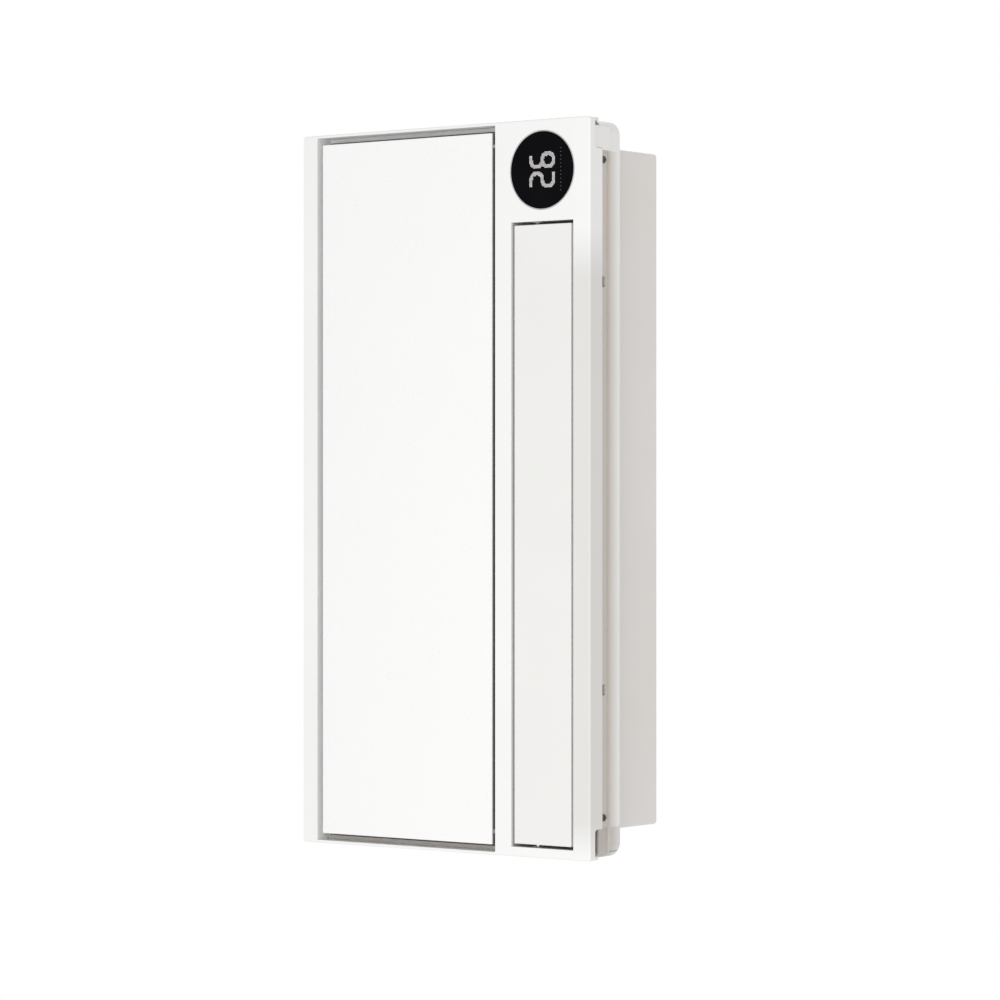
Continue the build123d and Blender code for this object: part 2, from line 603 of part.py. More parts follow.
def lamp_diffuser():
    """The opal front of the lamp: one large face with turned-back edges."""
    body = block(-LAMP_HALF, LAMP_HALF, PANEL_Y0, PANEL_Y1, PANEL_Z0, PANEL_Z1)
    body = fillet(body.edges().filter_by(Axis.Z), LAMP_EDGE_R)
    body = fillet(body.faces().sort_by(Axis.Z)[0].edges(), LAMP_EDGE_R * 0.8)
    body -= block(-LAMP_HALF + LAMP_SKIN, LAMP_HALF - LAMP_SKIN, PANEL_Y0 + LAMP_SKIN,
                  PANEL_Y1 - LAMP_SKIN, PANEL_Z0 + LAMP_SKIN, PANEL_Z1 + 1)
    wall = LAMP_ARM_WIDTH / 2 + LAMP_SLOT_CLEARANCE
    cheeks = []
    for side in (-1, 1):
        for off in (-1, 1):
            x = side * LAMP_HINGE_X + off * (wall + 1.5)
            cheeks.append(block(x - 1.5, x + 1.5, LAMP_PIVOT_Y - 6, PANEL_Y1 - LAMP_SKIN,
                                PANEL_Z0 + LAMP_SKIN, LAMP_PIVOT_Z + 4))
    body = union([body] + cheeks)
    for cut in lamp_slots(wall):
        body -= cut
    for side in (-1, 1):
        x = side * LAMP_HINGE_X
        body -= rod_x(LAMP_PIN_R, x - wall - 3, x + wall + 3, LAMP_PIVOT_Y, LAMP_PIVOT_Z)
    return body


def lamp_inner(margin_y):
    """The plan of the plates that lie inside the diffuser: x half length, y from, y to."""
    x = LAMP_HALF - LAMP_SKIN - PART_GAP
    return x, PANEL_Y0 + LAMP_SKIN + PART_GAP, LAMP_PIVOT_Y - 6 - margin_y


def lamp_light_guide():
    """The clear plate that spreads the light of the edge strips."""
    x, y0, y1 = lamp_inner(4)
    z0 = PANEL_Z0 + LAMP_SKIN
    return block(-x, x, y0 + 4, y1, z0, z0 + LAMP_GUIDE)


def lamp_led_strips():
    """Two light strips, one along each long edge of the light guide."""
    x, y0, y1 = lamp_inner(4)
    z0 = PANEL_Z0 + LAMP_SKIN
    strips = [block(-x + 6, x - 6, y0 + 1, y0 + 2.2, z0, z0 + LAMP_GUIDE + 1),
              block(-x + 6, x - 6, y1 + 1.2, y1 + 2.4, z0, z0 + LAMP_GUIDE + 1)]
    return group(strips)


def lamp_back_plate():
    """The steel back of the lamp, stiffened by pressed ribs and notched for the hinge arms."""
    x = LAMP_HALF - LAMP_SKIN
    z1 = PANEL_Z1 - LAMP_RIB_DEPTH
    body = block(-x, x, PANEL_Y0 + LAMP_SKIN, PANEL_Y1 - LAMP_SKIN, z1 - LAMP_BACK_SHEET, z1)
    y0, y1 = PANEL_Y0 + 22, LAMP_PIVOT_Y - 22
    pitch = (x * 2 - 80) / 4
    for i in range(5):
        rib_x = -x + 40 + i * pitch
        rib = rounded_block(rib_x - LAMP_RIB_WIDTH / 2, rib_x + LAMP_RIB_WIDTH / 2, y0, y1,
                            z1 - LAMP_BACK_SHEET, PANEL_Z1, LAMP_RIB_WIDTH / 2 - 0.5)
        body = body + rib
    for i in range(5):
        rib_x = -x + 40 + i * pitch
        half = LAMP_RIB_WIDTH / 2 - LAMP_BACK_SHEET
        body -= rounded_block(rib_x - half, rib_x + half, y0 + LAMP_BACK_SHEET, y1 - LAMP_BACK_SHEET,
                              z1 - LAMP_BACK_SHEET - 1, PANEL_Z1 - LAMP_BACK_SHEET, half - 0.5)
    for cut in lamp_slots(LAMP_ARM_WIDTH / 2 + LAMP_SLOT_CLEARANCE + 3.2):
        body -= cut
    return body


def lamp_hinge_pins():
    """The two pins that the lamp swings on, held in the diffuser's cheeks."""
    half = LAMP_ARM_WIDTH / 2 + LAMP_SLOT_CLEARANCE + 3
    return group([rod_x(LAMP_PIN_R, side * LAMP_HINGE_X - half, side * LAMP_HINGE_X + half,
                        LAMP_PIVOT_Y, LAMP_PIVOT_Z) for side in (-1, 1)])


def lamp_hinge_arms():
    """The two arms on the strip's wall that reach over the panel's edge and hold the pins."""
    z_high = PANEL_Z1 + LAMP_ARM_EYE_R
    y_left = LAMP_PIVOT_Y - LAMP_ARM_EYE_R * 0.8
    y_right = LAMP_PIVOT_Y + LAMP_ARM_EYE_R * 0.8
    arms = []
    for side in (-1, 1):
        x0 = side * LAMP_HINGE_X - LAMP_ARM_WIDTH / 2
        x1 = x0 + LAMP_ARM_WIDTH
        stem = along_x([(y_left, LAMP_PIVOT_Z), (y_right, LAMP_PIVOT_Z), (y_right, PANEL_Z1 - 2.5),
                        (LAMP_Y1, PANEL_Z1 - 2.5), (LAMP_Y1, z_high), (y_left + 2, z_high),
                        (y_left, z_high - 2)], x0, x1)
        foot = block(x0 - 4, x1 + 4, LAMP_Y1 - 1.5, LAMP_Y1, PANEL_Z1 - 2.5, z_high)
        eye = rod_x(LAMP_ARM_EYE_R, x0, x1, LAMP_PIVOT_Y, LAMP_PIVOT_Z)
        bore = rod_x(LAMP_PIN_R + PIN_CLEARANCE, x0 - 1, x1 + 1, LAMP_PIVOT_Y, LAMP_PIVOT_Z)
        arms.append(union([stem, foot, eye]) - bore)
    return group(arms)


def lamp_catches():
    """Two brackets on the far wall of the lamp opening, each with a seat for a magnet."""
    z0 = PANEL_Z1 + CATCH_GAP + MAGNET_HEIGHT
    z1 = z0 + CATCH_SHEET
    y1 = PANEL_Y0 + MAGNET_INSET + MAGNET_WIDTH
    brackets = []
    for x in (-CATCH_X, CATCH_X):
        x0, x1 = x - CATCH_LENGTH / 2, x + CATCH_LENGTH / 2
        seat = block(x0, x1, LAMP_Y0, y1 + CATCH_GAP, z0, z1)
        wall = block(x0, x1, LAMP_Y0, LAMP_Y0 + CATCH_SHEET, Z_SKIRT - 2 * CATCH_SHEET, z1)
        gusset = along_x([(LAMP_Y0, z1), (LAMP_Y0 + GUSSET_REACH, z1), (LAMP_Y0, z1 + GUSSET_RISE)],
                         x - GUSSET_THICKNESS / 2, x + GUSSET_THICKNESS / 2)
        brackets.append(union([seat, wall, gusset]))
    return group(brackets)


def lamp_catch_magnets():
    """The magnets that hold the lamp panel shut by its steel back."""
    z0 = PANEL_Z1 + CATCH_GAP
    y0 = PANEL_Y0 + MAGNET_INSET
    half = MAGNET_LENGTH / 2
    return group([block(x - half, x + half, y0, y0 + MAGNET_WIDTH, z0, z0 + MAGNET_HEIGHT)
                  for x in (-CATCH_X, CATCH_X)])


# Louver and its drive

def louver_vane():
    """The swinging outlet vane: a flat front, turned edges, ribs and a lug at each end."""
    z_edge = VANE_Z + LOUVER_EDGE_HEIGHT
    body = block(VANE_X0, VANE_X1, VANE_Y0, VANE_Y1, VANE_Z, z_edge)
    body = fillet(body.edges().filter_by(Axis.Z), LOUVER_EDGE_R)
    body = fillet(body.faces().sort_by(Axis.Z)[0].edges(), LOUVER_EDGE_R * 0.8)
    wall = LOUVER_SKIN * 0.8
    body -= block(VANE_X0 + wall, VANE_X1 - wall, VANE_Y0 + wall, VANE_Y1 - wall, VANE_Z + LOUVER_SKIN,
                  z_edge + 1)
    pitch = (VANE_X1 - VANE_X0) / (LOUVER_RIB_COUNT + 1)
    pieces = [block(VANE_X0 + i * pitch - 0.7, VANE_X0 + i * pitch + 0.7, VANE_Y0 + wall, VANE_Y1 - wall,
                    VANE_Z + LOUVER_SKIN, z_edge - 0.5) for i in range(1, LOUVER_RIB_COUNT + 1)]
    foot = LOUVER_LUG_R * 1.8
    for x in lug_places():
        pieces.append(along_x([(LOUVER_PIVOT_Y - foot, VANE_Z + LOUVER_SKIN),
                               (LOUVER_PIVOT_Y + foot, VANE_Z + LOUVER_SKIN),
                               (LOUVER_PIVOT_Y + LOUVER_LUG_R, LOUVER_PIVOT_Z),
                               (LOUVER_PIVOT_Y - LOUVER_LUG_R, LOUVER_PIVOT_Z)], x, x + LOUVER_LUG_WIDTH))
        pieces.append(rod_x(LOUVER_LUG_R, x, x + LOUVER_LUG_WIDTH, LOUVER_PIVOT_Y, LOUVER_PIVOT_Z))
    body = union([body] + pieces)
    for x in lug_places():
        body -= rod_x(LOUVER_AXLE_R, x - 1, x + LOUVER_LUG_WIDTH + 1, LOUVER_PIVOT_Y, LOUVER_PIVOT_Z)
    return body


def lug_places():
    """The low-X face of each of the louver's two lugs."""
    return [VANE_X0 + LOUVER_SKIN * 0.8, VANE_X1 - LOUVER_SKIN * 0.8 - LOUVER_LUG_WIDTH]


def louver_pin():
    """The steel pin at the louver's far end."""
    return rod_x(LOUVER_AXLE_R, LOUVER_X0 - DUCT_WALL, lug_places()[0] + LOUVER_LUG_WIDTH,
                 LOUVER_PIVOT_Y, LOUVER_PIVOT_Z)


def louver_bushes():
    """A flanged bush in each end wall of the duct."""
    bushes = []
    for wall_x, side in ((LOUVER_X0, -1), (LOUVER_X1, 1)):
        barrel = sorted((wall_x, wall_x + side * DUCT_WALL))
        flange = sorted((wall_x, wall_x - side * BUSH_FLANGE))
        bush = rod_x(BUSH_R, *barrel, LOUVER_PIVOT_Y, LOUVER_PIVOT_Z)
        bush += rod_x(BUSH_FLANGE_R, *flange, LOUVER_PIVOT_Y, LOUVER_PIVOT_Z)
        bushes.append(bush - rod_x(LOUVER_AXLE_R + PIN_CLEARANCE, wall_x - 5, wall_x + 5,
                                   LOUVER_PIVOT_Y, LOUVER_PIVOT_Z))
    return group(bushes)


def tooth_section(teeth, angle):
    """One gear tooth about the origin, with sloping flanks, its middle at an angle in degrees."""
    pitch_r = GEAR_MODULE * teeth / 2
    root_r = pitch_r - 1.25 * GEAR_MODULE
    tip_r = pitch_r + 0.9 * GEAR_MODULE
    half_pitch = (pi * GEAR_MODULE / 2 - TOOTH_THINNING) / 2
    slope = sin(radians(20)) / cos(radians(20))
    half_root = half_pitch + (pitch_r - root_r) * slope
    half_tip = half_pitch - (tip_r - pitch_r) * slope * 1.35
    points = [(root_r - 0.6, -half_root), (pitch_r, -half_pitch), (tip_r, -half_tip),
              (tip_r, half_tip), (pitch_r, half_pitch), (root_r - 0.6, half_root)]
    return Rot(0, 0, angle) * make_face(Polyline(*points, close=True))


def gear_solid(section, y, z, x0, x1):
    """A gear section, drawn about the origin, as a wheel of an axis along X."""
    return extrude(Plane((x0, y, z), x_dir=(0, 1, 0), z_dir=(1, 0, 0)) * section, amount=x1 - x0)


def louver_sector():
    """The toothed sector and stub axle that turn the louver."""
    root_r = GEAR_MODULE * SECTOR_TEETH_FULL / 2 - 1.25 * GEAR_MODULE
    pitch_angle = 360 / SECTOR_TEETH_FULL
    span = (SECTOR_TEETH - 1) * pitch_angle
    edge = pitch_angle * 0.45
    hub_r = LOUVER_AXLE_R + 1.8
    a0, a1 = radians(90 - edge), radians(90 + span + edge)
    mid = (a0 + a1) / 2
    arc = ThreePointArc((root_r * cos(a0), root_r * sin(a0)), (root_r * cos(mid), root_r * sin(mid)),
                        (root_r * cos(a1), root_r * sin(a1)))
    fan = make_face([arc, Line(arc @ 1, (0, 0)), Line((0, 0), arc @ 0)])
    section = fan + Circle(hub_r)
    for i in range(SECTOR_TEETH):
        section += tooth_section(SECTOR_TEETH_FULL, 90 + i * pitch_angle)
    wheel = gear_solid(section, LOUVER_PIVOT_Y, LOUVER_PIVOT_Z, GEAR_X0, GEAR_X1)
    axle = rod_x(LOUVER_AXLE_R, lug_places()[1], GEAR_X0, LOUVER_PIVOT_Y, LOUVER_PIVOT_Z)
    return union([wheel, axle])


def louver_pinion():
    """The small gear on the louver motor's shaft, in mesh with the sector."""
    root_r = GEAR_MODULE * PINION_TEETH / 2 - 1.25 * GEAR_MODULE
    pitch_angle = 360 / PINION_TEETH
    section = Circle(root_r)
    for i in range(PINION_TEETH):
        section += tooth_section(PINION_TEETH, -90 + (i + 0.5) * pitch_angle)
    section -= Circle(LOUVER_AXLE_R)
    return gear_solid(section, LOUVER_PIVOT_Y, PINION_Z, GEAR_X0, GEAR_X1)


def louver_motor_shaft():
    """The louver motor's output shaft."""
    return rod_x(LOUVER_AXLE_R, GEAR_X0, MOTOR_PLATE_X + MOTOR_PLATE + 3, LOUVER_PIVOT_Y, PINION_Z)


def louver_motor():
    """The geared stepper that swings the louver, with its two ears and its lead block."""
    x0 = MOTOR_PLATE_X + MOTOR_PLATE
    x1 = x0 + LOUVER_MOTOR_LENGTH
    can = rod_x(LOUVER_MOTOR_R, x0, x1, LOUVER_PIVOT_Y, PINION_Z)
    can = fillet(can.edges().sort_by(Axis.X)[-1], 1.5)
    ears = block(x0, x0 + 1, LOUVER_PIVOT_Y - 17, LOUVER_PIVOT_Y + 17, PINION_Z - 3.5, PINION_Z + 3.5)
    leads = block(x0 + 3, x1 - 2, LOUVER_PIVOT_Y - 6, LOUVER_PIVOT_Y + 6, PINION_Z, PINION_Z + 14)
    body = union([can, ears, leads])
    return body - rod_x(LOUVER_AXLE_R + PIN_CLEARANCE, x0 - 1, x0 + 4, LOUVER_PIVOT_Y, PINION_Z)


def louver_motor_bracket():
    """The plate between the gears and the motor, hung from the tray's back plate."""
    x0, x1 = MOTOR_PLATE_X, MOTOR_PLATE_X + MOTOR_PLATE
    plate = block(x0, x1, LOUVER_PIVOT_Y - 18, LOUVER_PIVOT_Y + 18, PINION_Z - 8, Z_PLATE)
    foot = block(x0, x1 + 12, LOUVER_PIVOT_Y - 18, LOUVER_PIVOT_Y - 9, Z_PLATE - MOTOR_PLATE, Z_PLATE)
    foot_2 = block(x0, x1 + 12, LOUVER_PIVOT_Y + 9, LOUVER_PIVOT_Y + 18, Z_PLATE - MOTOR_PLATE, Z_PLATE)
    body = union([plate, foot, foot_2])
    return body - rod_x(LOUVER_AXLE_R + 1.5, x0 - 1, x1 + 1, LOUVER_PIVOT_Y, PINION_Z)


# Outlet duct, heater and plenum

def outlet_duct():
    """The moulded outlet behind the louver, from the face up to the heater block."""
    x0, x1 = LOUVER_X0 - DUCT_WALL, LOUVER_X1 + DUCT_WALL
    y0, y1 = LOUVER_Y0 - DUCT_WALL, LOUVER_Y1 + DUCT_WALL
    body = block(x0, x1, y0, y1, Z_INSIDE, DUCT_Z1)
    body -= block(LOUVER_X0, LOUVER_X1, LOUVER_Y0, LOUVER_Y1, Z_INSIDE - 1, DUCT_Z1 - DUCT_WALL)
    collar = block(HEATER_X0 - DUCT_WALL, HEATER_X1 + DUCT_WALL, HEATER_Y0 - DUCT_WALL,
                   HEATER_Y1 + DUCT_WALL, DUCT_Z1 - DUCT_WALL, Z_PLATE)
    body = union([body, collar])
    body -= block(HEATER_X0 + HEATER_RIM, HEATER_X1 - HEATER_RIM, HEATER_Y0 + HEATER_RIM,
                  HEATER_Y1 - HEATER_RIM, DUCT_Z1 - DUCT_WALL - 1, DUCT_Z1)
    body -= block(HEATER_X0, HEATER_X1, HEATER_Y0, HEATER_Y1, HEATER_Z0, Z_PLATE + 1)
    for wall_x in (LOUVER_X0, LOUVER_X1):
        body -= rod_x(BUSH_R, wall_x - 5, wall_x + 5, LOUVER_PIVOT_Y, LOUVER_PIVOT_Z)
    return body


def heater_rows():
    """The fin rows' low-Y edges, and the width of one row."""
    inner = HEATER_WIDTH - 2 * HEATER_RIM
    fin = (inner - HEATER_BAR_COUNT * HEATER_BAR_WIDTH) / (HEATER_BAR_COUNT + 1)
    y0 = HEATER_Y0 + HEATER_RIM
    return [y0 + i * (fin + HEATER_BAR_WIDTH) for i in range(HEATER_BAR_COUNT + 1)], fin


def heater_frame():
    """The heat-proof frame round the heater block."""
    body = block(HEATER_X0, HEATER_X1, HEATER_Y0, HEATER_Y1, HEATER_Z0, HEATER_Z1)
    return body - block(HEATER_X0 + HEATER_RIM, HEATER_X1 - HEATER_RIM, HEATER_Y0 + HEATER_RIM,
                        HEATER_Y1 - HEATER_RIM, HEATER_Z0 - 1, HEATER_Z1 + 1)


def heater_bars():
    """The flat tubes that hold the heating elements."""
    rows, fin = heater_rows()
    return group([block(HEATER_X0 + HEATER_RIM, HEATER_X1 - HEATER_RIM, y + fin,
                        y + fin + HEATER_BAR_WIDTH, HEATER_Z0 + 1, HEATER_Z1 - 1) for y in rows[:-1]])


def heater_fins():
    """Corrugated sheet fins between the heater bars: one folded strip in each row."""
    rows, fin = heater_rows()
    length = HEATER_X1 - HEATER_X0 - 2 * HEATER_RIM
    folds = int(length / FIN_PITCH) * 2
    step = length / folds
    strips = []
    for y in rows:
        low, high = y, y + fin - FIN_SHEET * 2.2
        front = [(HEATER_X0 + HEATER_RIM + i * step, high if i % 2 else low) for i in range(folds + 1)]
        back = [(px, py + FIN_SHEET * 2.2) for px, py in reversed(front)]
        section = make_face(Polyline(*front, *back, close=True))
        strips.append(extrude(Pos(0, 0, HEATER_Z0 + 1) * section, amount=HEATER_HEIGHT - 2))
    return group(strips)


def thermal_cutout():
    """The round safety thermostat on the heater frame's end."""
    x = HEATER_X1 + PLENUM_SIDE / 2
    y = (HEATER_Y0 + HEATER_Y1) / 2
    disc = rod_z(3.4, x, y, 0, 5)
    return union([disc, block(x - 2.5, x + 2.5, y - 9, y + 9, 0, 1.2)])


def outlet_plenum():
    """The sheet cover over the heater block, open to the switching chamber."""
    x0, x1 = HEATER_X0 - PLENUM_SIDE, HEATER_X1 + PLENUM_SIDE
    y0, y1 = CHAMBER_BACK_Y, HOUSING_WIDTH / 2 - HOUSING_SHEET - PART_GAP
    s = PLENUM_SHEET
    body = block(x0, x1, y0, y1, 0, SCROLL_HEIGHT)
    body -= block(x0 + s, x1 - s, y0 + s, y1 - s, -1, SCROLL_HEIGHT - s)
    return body - block(*chamber_port_x(), y0 - 1, y0 + s + 1, PORT_MARGIN, CHAMBER_HEIGHT - PORT_MARGIN)


# Blower

def scroll_outline(grow):
    """The scroll's outline from four quarter arcs, each a step larger, and a straight outlet."""
    e = SCROLL_STEP
    cx, cy = SCROLL_C1_X, SCROLL_C1_Y
    r1 = SCROLL_R + grow
    inner_y = SCROLL_OUTLET_Y0 - grow
    start = degrees(asin((inner_y - cy) / r1))
    arcs = [CenterArc((cx, cy), r1, start, -start), CenterArc((cx - e, cy), r1 + e, 0, -90),
            CenterArc((cx - e, cy + e), r1 + 2 * e, 270, -90), CenterArc((cx, cy + e), r1 + 3 * e, 180, -90)]
    top_y = cy + e + r1 + 3 * e
    lines = [Line((cx, top_y), (SCROLL_OUTLET_X, top_y)),
             Line((SCROLL_OUTLET_X, top_y), (SCROLL_OUTLET_X, inner_y)),
             Line((SCROLL_OUTLET_X, inner_y), arcs[0] @ 0)]
    return make_face(arcs + lines)


def scroll_top_y():
    """The inside of the outlet's outer wall."""
    return SCROLL_C1_Y + SCROLL_R + 4 * SCROLL_STEP


def scroll_casing():
    """The blower's volute: floor and side wall, open at the outlet."""
    body = extrude(scroll_outline(SCROLL_WALL), amount=SCROLL_HEIGHT)
    body -= extrude(Pos(0, 0, SCROLL_WALL) * scroll_outline(0), amount=SCROLL_HEIGHT)
    body -= rod_z(INLET_R + INLET_LIP + 1.5, FAN_X, FAN_Y, -1, SCROLL_WALL + 1)
    return body


def scroll_cover():
    """The volute's top plate, which carries the motor."""
    body = extrude(Pos(0, 0, SCROLL_HEIGHT) * scroll_outline(SCROLL_WALL), amount=SCROLL_COVER)
    return body - rod_z(BEARING_R, FAN_X, FAN_Y, SCROLL_HEIGHT - 1, SCROLL_TOP + 1)


def inlet_ring():
    """The flared ring that leads air into the impeller's eye."""
    z0, z1 = -0.5, FAN_Z0 + 2.0
    lip = INLET_LIP
    outer = [(INLET_R + lip, z0), (INLET_R + lip + 1.5, z0), (INLET_R + lip + 1.5, SCROLL_WALL)]
    throat = ThreePointArc((INLET_R + lip, z0), (INLET_R + lip * 0.3, z0 + lip * 0.7),
                           (INLET_R, z0 + lip + 1))
    sheet = INLET_SHEET
    section = make_face([throat, Line((INLET_R, z0 + lip + 1), (INLET_R, z1)),
                         Line((INLET_R, z1), (INLET_R + sheet, z1)),
                         Line((INLET_R + sheet, z1), (INLET_R + sheet, SCROLL_WALL)),
                         Line((INLET_R + sheet, SCROLL_WALL), outer[2]), Line(outer[2], outer[1]),
                         Line(outer[1], outer[0])])
    return Pos(FAN_X, FAN_Y, 0) * revolve(Plane.XZ * section, Axis.Z, 360)


def blade_section():
    """One forward-curved blade, as a face about the origin."""
    radii = (IMPELLER_R - BLADE_CHORD, IMPELLER_R - BLADE_CHORD * 0.45, IMPELLER_R - 0.6)
    leans = (0.0, -BLADE_LEAN * 0.32, -BLADE_LEAN)
    sides = []
    for sign in (1, -1):
        side = []
        for r, lean in zip(radii, leans):
            angle = radians(lean) + sign * BLADE_SHEET / (2 * r)
            side.append((r * cos(angle), r * sin(angle)))
        sides.append(side)
    front = ThreePointArc(*sides[0])
    back = ThreePointArc(*sides[1])
    return make_face([front, back, Line(front @ 0, back @ 0), Line(front @ 1, back @ 1)])


def fan_impeller():
    """The squirrel-cage impeller: a back disc with a hub, a ring of blades and an inlet ring."""
    blade = extrude(Pos(0, 0, FAN_Z0) * blade_section(), amount=IMPELLER_HEIGHT - 0.5)
    blades = [Rot(0, 0, i * 360 / BLADE_COUNT) * blade for i in range(BLADE_COUNT)]
    disc = rod_z(IMPELLER_R, 0, 0, FAN_Z1 - IMPELLER_DISC, FAN_Z1)
    hub = rod_z(HUB_R, 0, 0, FAN_Z1 - HUB_HEIGHT, FAN_Z1)
    ring = tube_z(IMPELLER_R, IMPELLER_R - 3, 0, 0, FAN_Z0, FAN_Z0 + 2)
    body = union([disc, hub, ring] + blades)
    return Pos(FAN_X, FAN_Y, 0) * (body - rod_z(FAN_SHAFT_R, 0, 0, FAN_Z1 - HUB_HEIGHT - 1, FAN_Z1 + 1))


def fan_shaft():
    """The motor shaft that carries the impeller."""
    return rod_z(FAN_SHAFT_R, FAN_X, FAN_Y, FAN_Z1 - HUB_HEIGHT,
                 SCROLL_TOP + FAN_MOTOR_HEIGHT - MOTOR_END - 0.5)


def fan_bearings():
    """The motor's two bearings."""
    lows = (SCROLL_HEIGHT - 1, SCROLL_TOP + FAN_MOTOR_HEIGHT - BEARING_WIDTH - MOTOR_END)
    return group([tube_z(BEARING_R, FAN_SHAFT_R + PIN_CLEARANCE, FAN_X, FAN_Y, z, z + BEARING_WIDTH)
                  for z in lows])


def fan_motor():
    """The flat motor on the volute's cover, with cooling slots and three screw ears."""
    z0, z1 = SCROLL_TOP, SCROLL_TOP + FAN_MOTOR_HEIGHT
    can = rod_z(FAN_MOTOR_R, FAN_X, FAN_Y, z0, z1)
    can = fillet(can.edges().sort_by(Axis.Z)[-1], 4)
    ears = []
    for i in range(3):
        arm = Rot(0, 0, 90 + i * 120) * (Pos(FAN_MOTOR_R + FAN_MOTOR_EAR, 0, z0 + 1) * Box(14, 12, 2))
        ears.append(Pos(FAN_X, FAN_Y, 0) * arm)
    body = union([can] + ears)
    body -= rod_z(BEARING_R, FAN_X, FAN_Y, z0 - 1, z1 - MOTOR_END)
    for i in range(12):
        slot = Rot(0, 0, i * 30) * (Pos(FAN_MOTOR_R * 0.66, 0, z1) * Box(16, 4, 5))
        body -= Pos(FAN_X, FAN_Y, 0) * slot
    return body


def inlet_grille():
    """The guard below the inlet: a round plate of parallel slots, cut shorter towards the rim."""
    z1 = Z_PLATE
    z0 = z1 - GRILLE_SHEET
    body = rod_z(GRILLE_R, FAN_X, FAN_Y, z0, z1)
    pitch = GRILLE_SLOT + GRILLE_BAR
    reach = INLET_R + INLET_LIP
    count = int(reach / pitch)
    for i in range(-count, count + 1):
        y = FAN_Y + i * pitch
        edge = abs(i * pitch) + GRILLE_SLOT / 2
        if edge < reach - 4:
            half = sqrt(reach ** 2 - edge ** 2)
            for x0, x1 in ((-half, -GRILLE_BAR), (GRILLE_BAR, half)):
                body -= block(FAN_X + x0, FAN_X + x1, y - GRILLE_SLOT / 2, y + GRILLE_SLOT / 2,
                              z0 - 1, z1 + 1)
    return body


# Switching chamber and damper

def chamber_port_x():
    """The opening from the chamber to the plenum, from and to along X."""
    return DAMPER_X - DAMPER_LENGTH + 6, DAMPER_X - DAMPER_BARREL_R - 2


def switching_chamber():
    """The box that sends the air to the heater or to the duct, with a higher part by the spigot."""
    x0, x1 = CHAMBER_X0, CHAMBER_X1
    y0, y1 = SPIGOT_Y1 + HOUSING_SHEET + PART_GAP, CHAMBER_BACK_Y
    w = CHAMBER_WALL
    step_y = DAMPER_TIP_Y - 14
    high = HOUSING_HEIGHT - HOUSING_SHEET - HOUSING_PANEL_DEPTH - PART_GAP
    body = block(x0, x1, y0, y1, 0, CHAMBER_HEIGHT) + block(x0, x1, y0, step_y, 0, high)
    body -= block(x0 + w, x1 - w, y0 + w, y1 - w, w, CHAMBER_HEIGHT - w)
    body -= block(x0 + w, x1 - w, y0 + w, step_y - w, w, high - w)
    baffle_x1 = DAMPER_TIP_X - PART_GAP * 2
    baffle = block(x0 + w, baffle_x1, DAMPER_TIP_Y - 2, DAMPER_TIP_Y, w, CHAMBER_HEIGHT - w)
    body = union([body, baffle])
    body -= block(x0 - 1, x0 + w + 1, SCROLL_OUTLET_Y0, scroll_top_y(), SCROLL_WALL, SCROLL_HEIGHT)
    body -= block(*chamber_port_x(), y1 - w - 1, y1 + 1, PORT_MARGIN, CHAMBER_HEIGHT - PORT_MARGIN)
    body -= rod_y(SPIGOT_R, SPIGOT_X, y0 - 1, y0 + w + 1, SPIGOT_Z)
    for hole in spigot_screw_holes():
        body -= hole
    body -= rod_z(DAMPER_SHAFT_R + PIN_CLEARANCE, DAMPER_X, DAMPER_Y, -1, CHAMBER_HEIGHT + 1)
    return body


def damper_place(piece):
    """Turns a flap drawn along -X from the origin to its rest, closed against the duct side."""
    return Pos(DAMPER_X, DAMPER_Y, 0) * Rot(0, 0, DAMPER_SWING) * piece


def damper_flap():
    """The flap that shuts the way to the duct at rest and the way to the heater when swung."""
    z0, z1 = CHAMBER_WALL + 3, CHAMBER_HEIGHT - CHAMBER_WALL - 3
    plate = block(-DAMPER_LENGTH, 0, -DAMPER_SHEET / 2, DAMPER_SHEET / 2, z0, z1)
    tip = block(-DAMPER_LENGTH, -DAMPER_LENGTH + 3, -DAMPER_SHEET, DAMPER_SHEET, z0, z1)
    barrel = rod_z(DAMPER_BARREL_R, 0, 0, z0, z1)
    return damper_place(union([plate, tip, barrel]) - rod_z(DAMPER_SHAFT_R, 0, 0, z0 - 1, z1 + 1))


def damper_shaft():
    """The shaft through the flap, from the chamber's floor up into its motor."""
    return rod_z(DAMPER_SHAFT_R, DAMPER_X, DAMPER_Y, 0, CHAMBER_HEIGHT + 6)


def damper_motor():
    """The geared motor on the chamber's roof."""
    z0 = CHAMBER_HEIGHT
    z1 = z0 + DAMPER_MOTOR_HEIGHT
    can = rod_z(DAMPER_MOTOR_R, DAMPER_X, DAMPER_Y, z0, z1)
    can = fillet(can.edges().sort_by(Axis.Z)[-1], 2)
    ears = block(DAMPER_X - 20, DAMPER_X + 20, DAMPER_Y - 3.5, DAMPER_Y + 3.5, z0, z0 + 1.2)
    leads = block(DAMPER_X - 7, DAMPER_X + 7, DAMPER_Y - 18, DAMPER_Y, z0 + 3, z1 - 2)
    body = union([can, ears, leads])
    return body - rod_z(DAMPER_SHAFT_R + PIN_CLEARANCE, DAMPER_X, DAMPER_Y, z0 - 1, z0 + 8)


# Duct spigot and back-draught flap

def spigot_screw_places():
    """The centres of the flange's four screws, as (x, z)."""
    x, z = SPIGOT_R + SPIGOT_FLANGE_MARGIN - 5, SPIGOT_R - 5
    return [(SPIGOT_X + sx * x, SPIGOT_Z + sz * z) for sx in (-1, 1) for sz in (-1, 1)]


def spigot_screw_holes():
    """The clearance for those screws through the flange, the housing and the chamber's wall."""
    y0, y1 = SPIGOT_Y1 - SPIGOT_FLANGE - 1, SPIGOT_Y1 + SPIGOT_SCREW_LENGTH
    return [rod_y(SPIGOT_SCREW_R, x, y0, y1, z) for x, z in spigot_screw_places()]


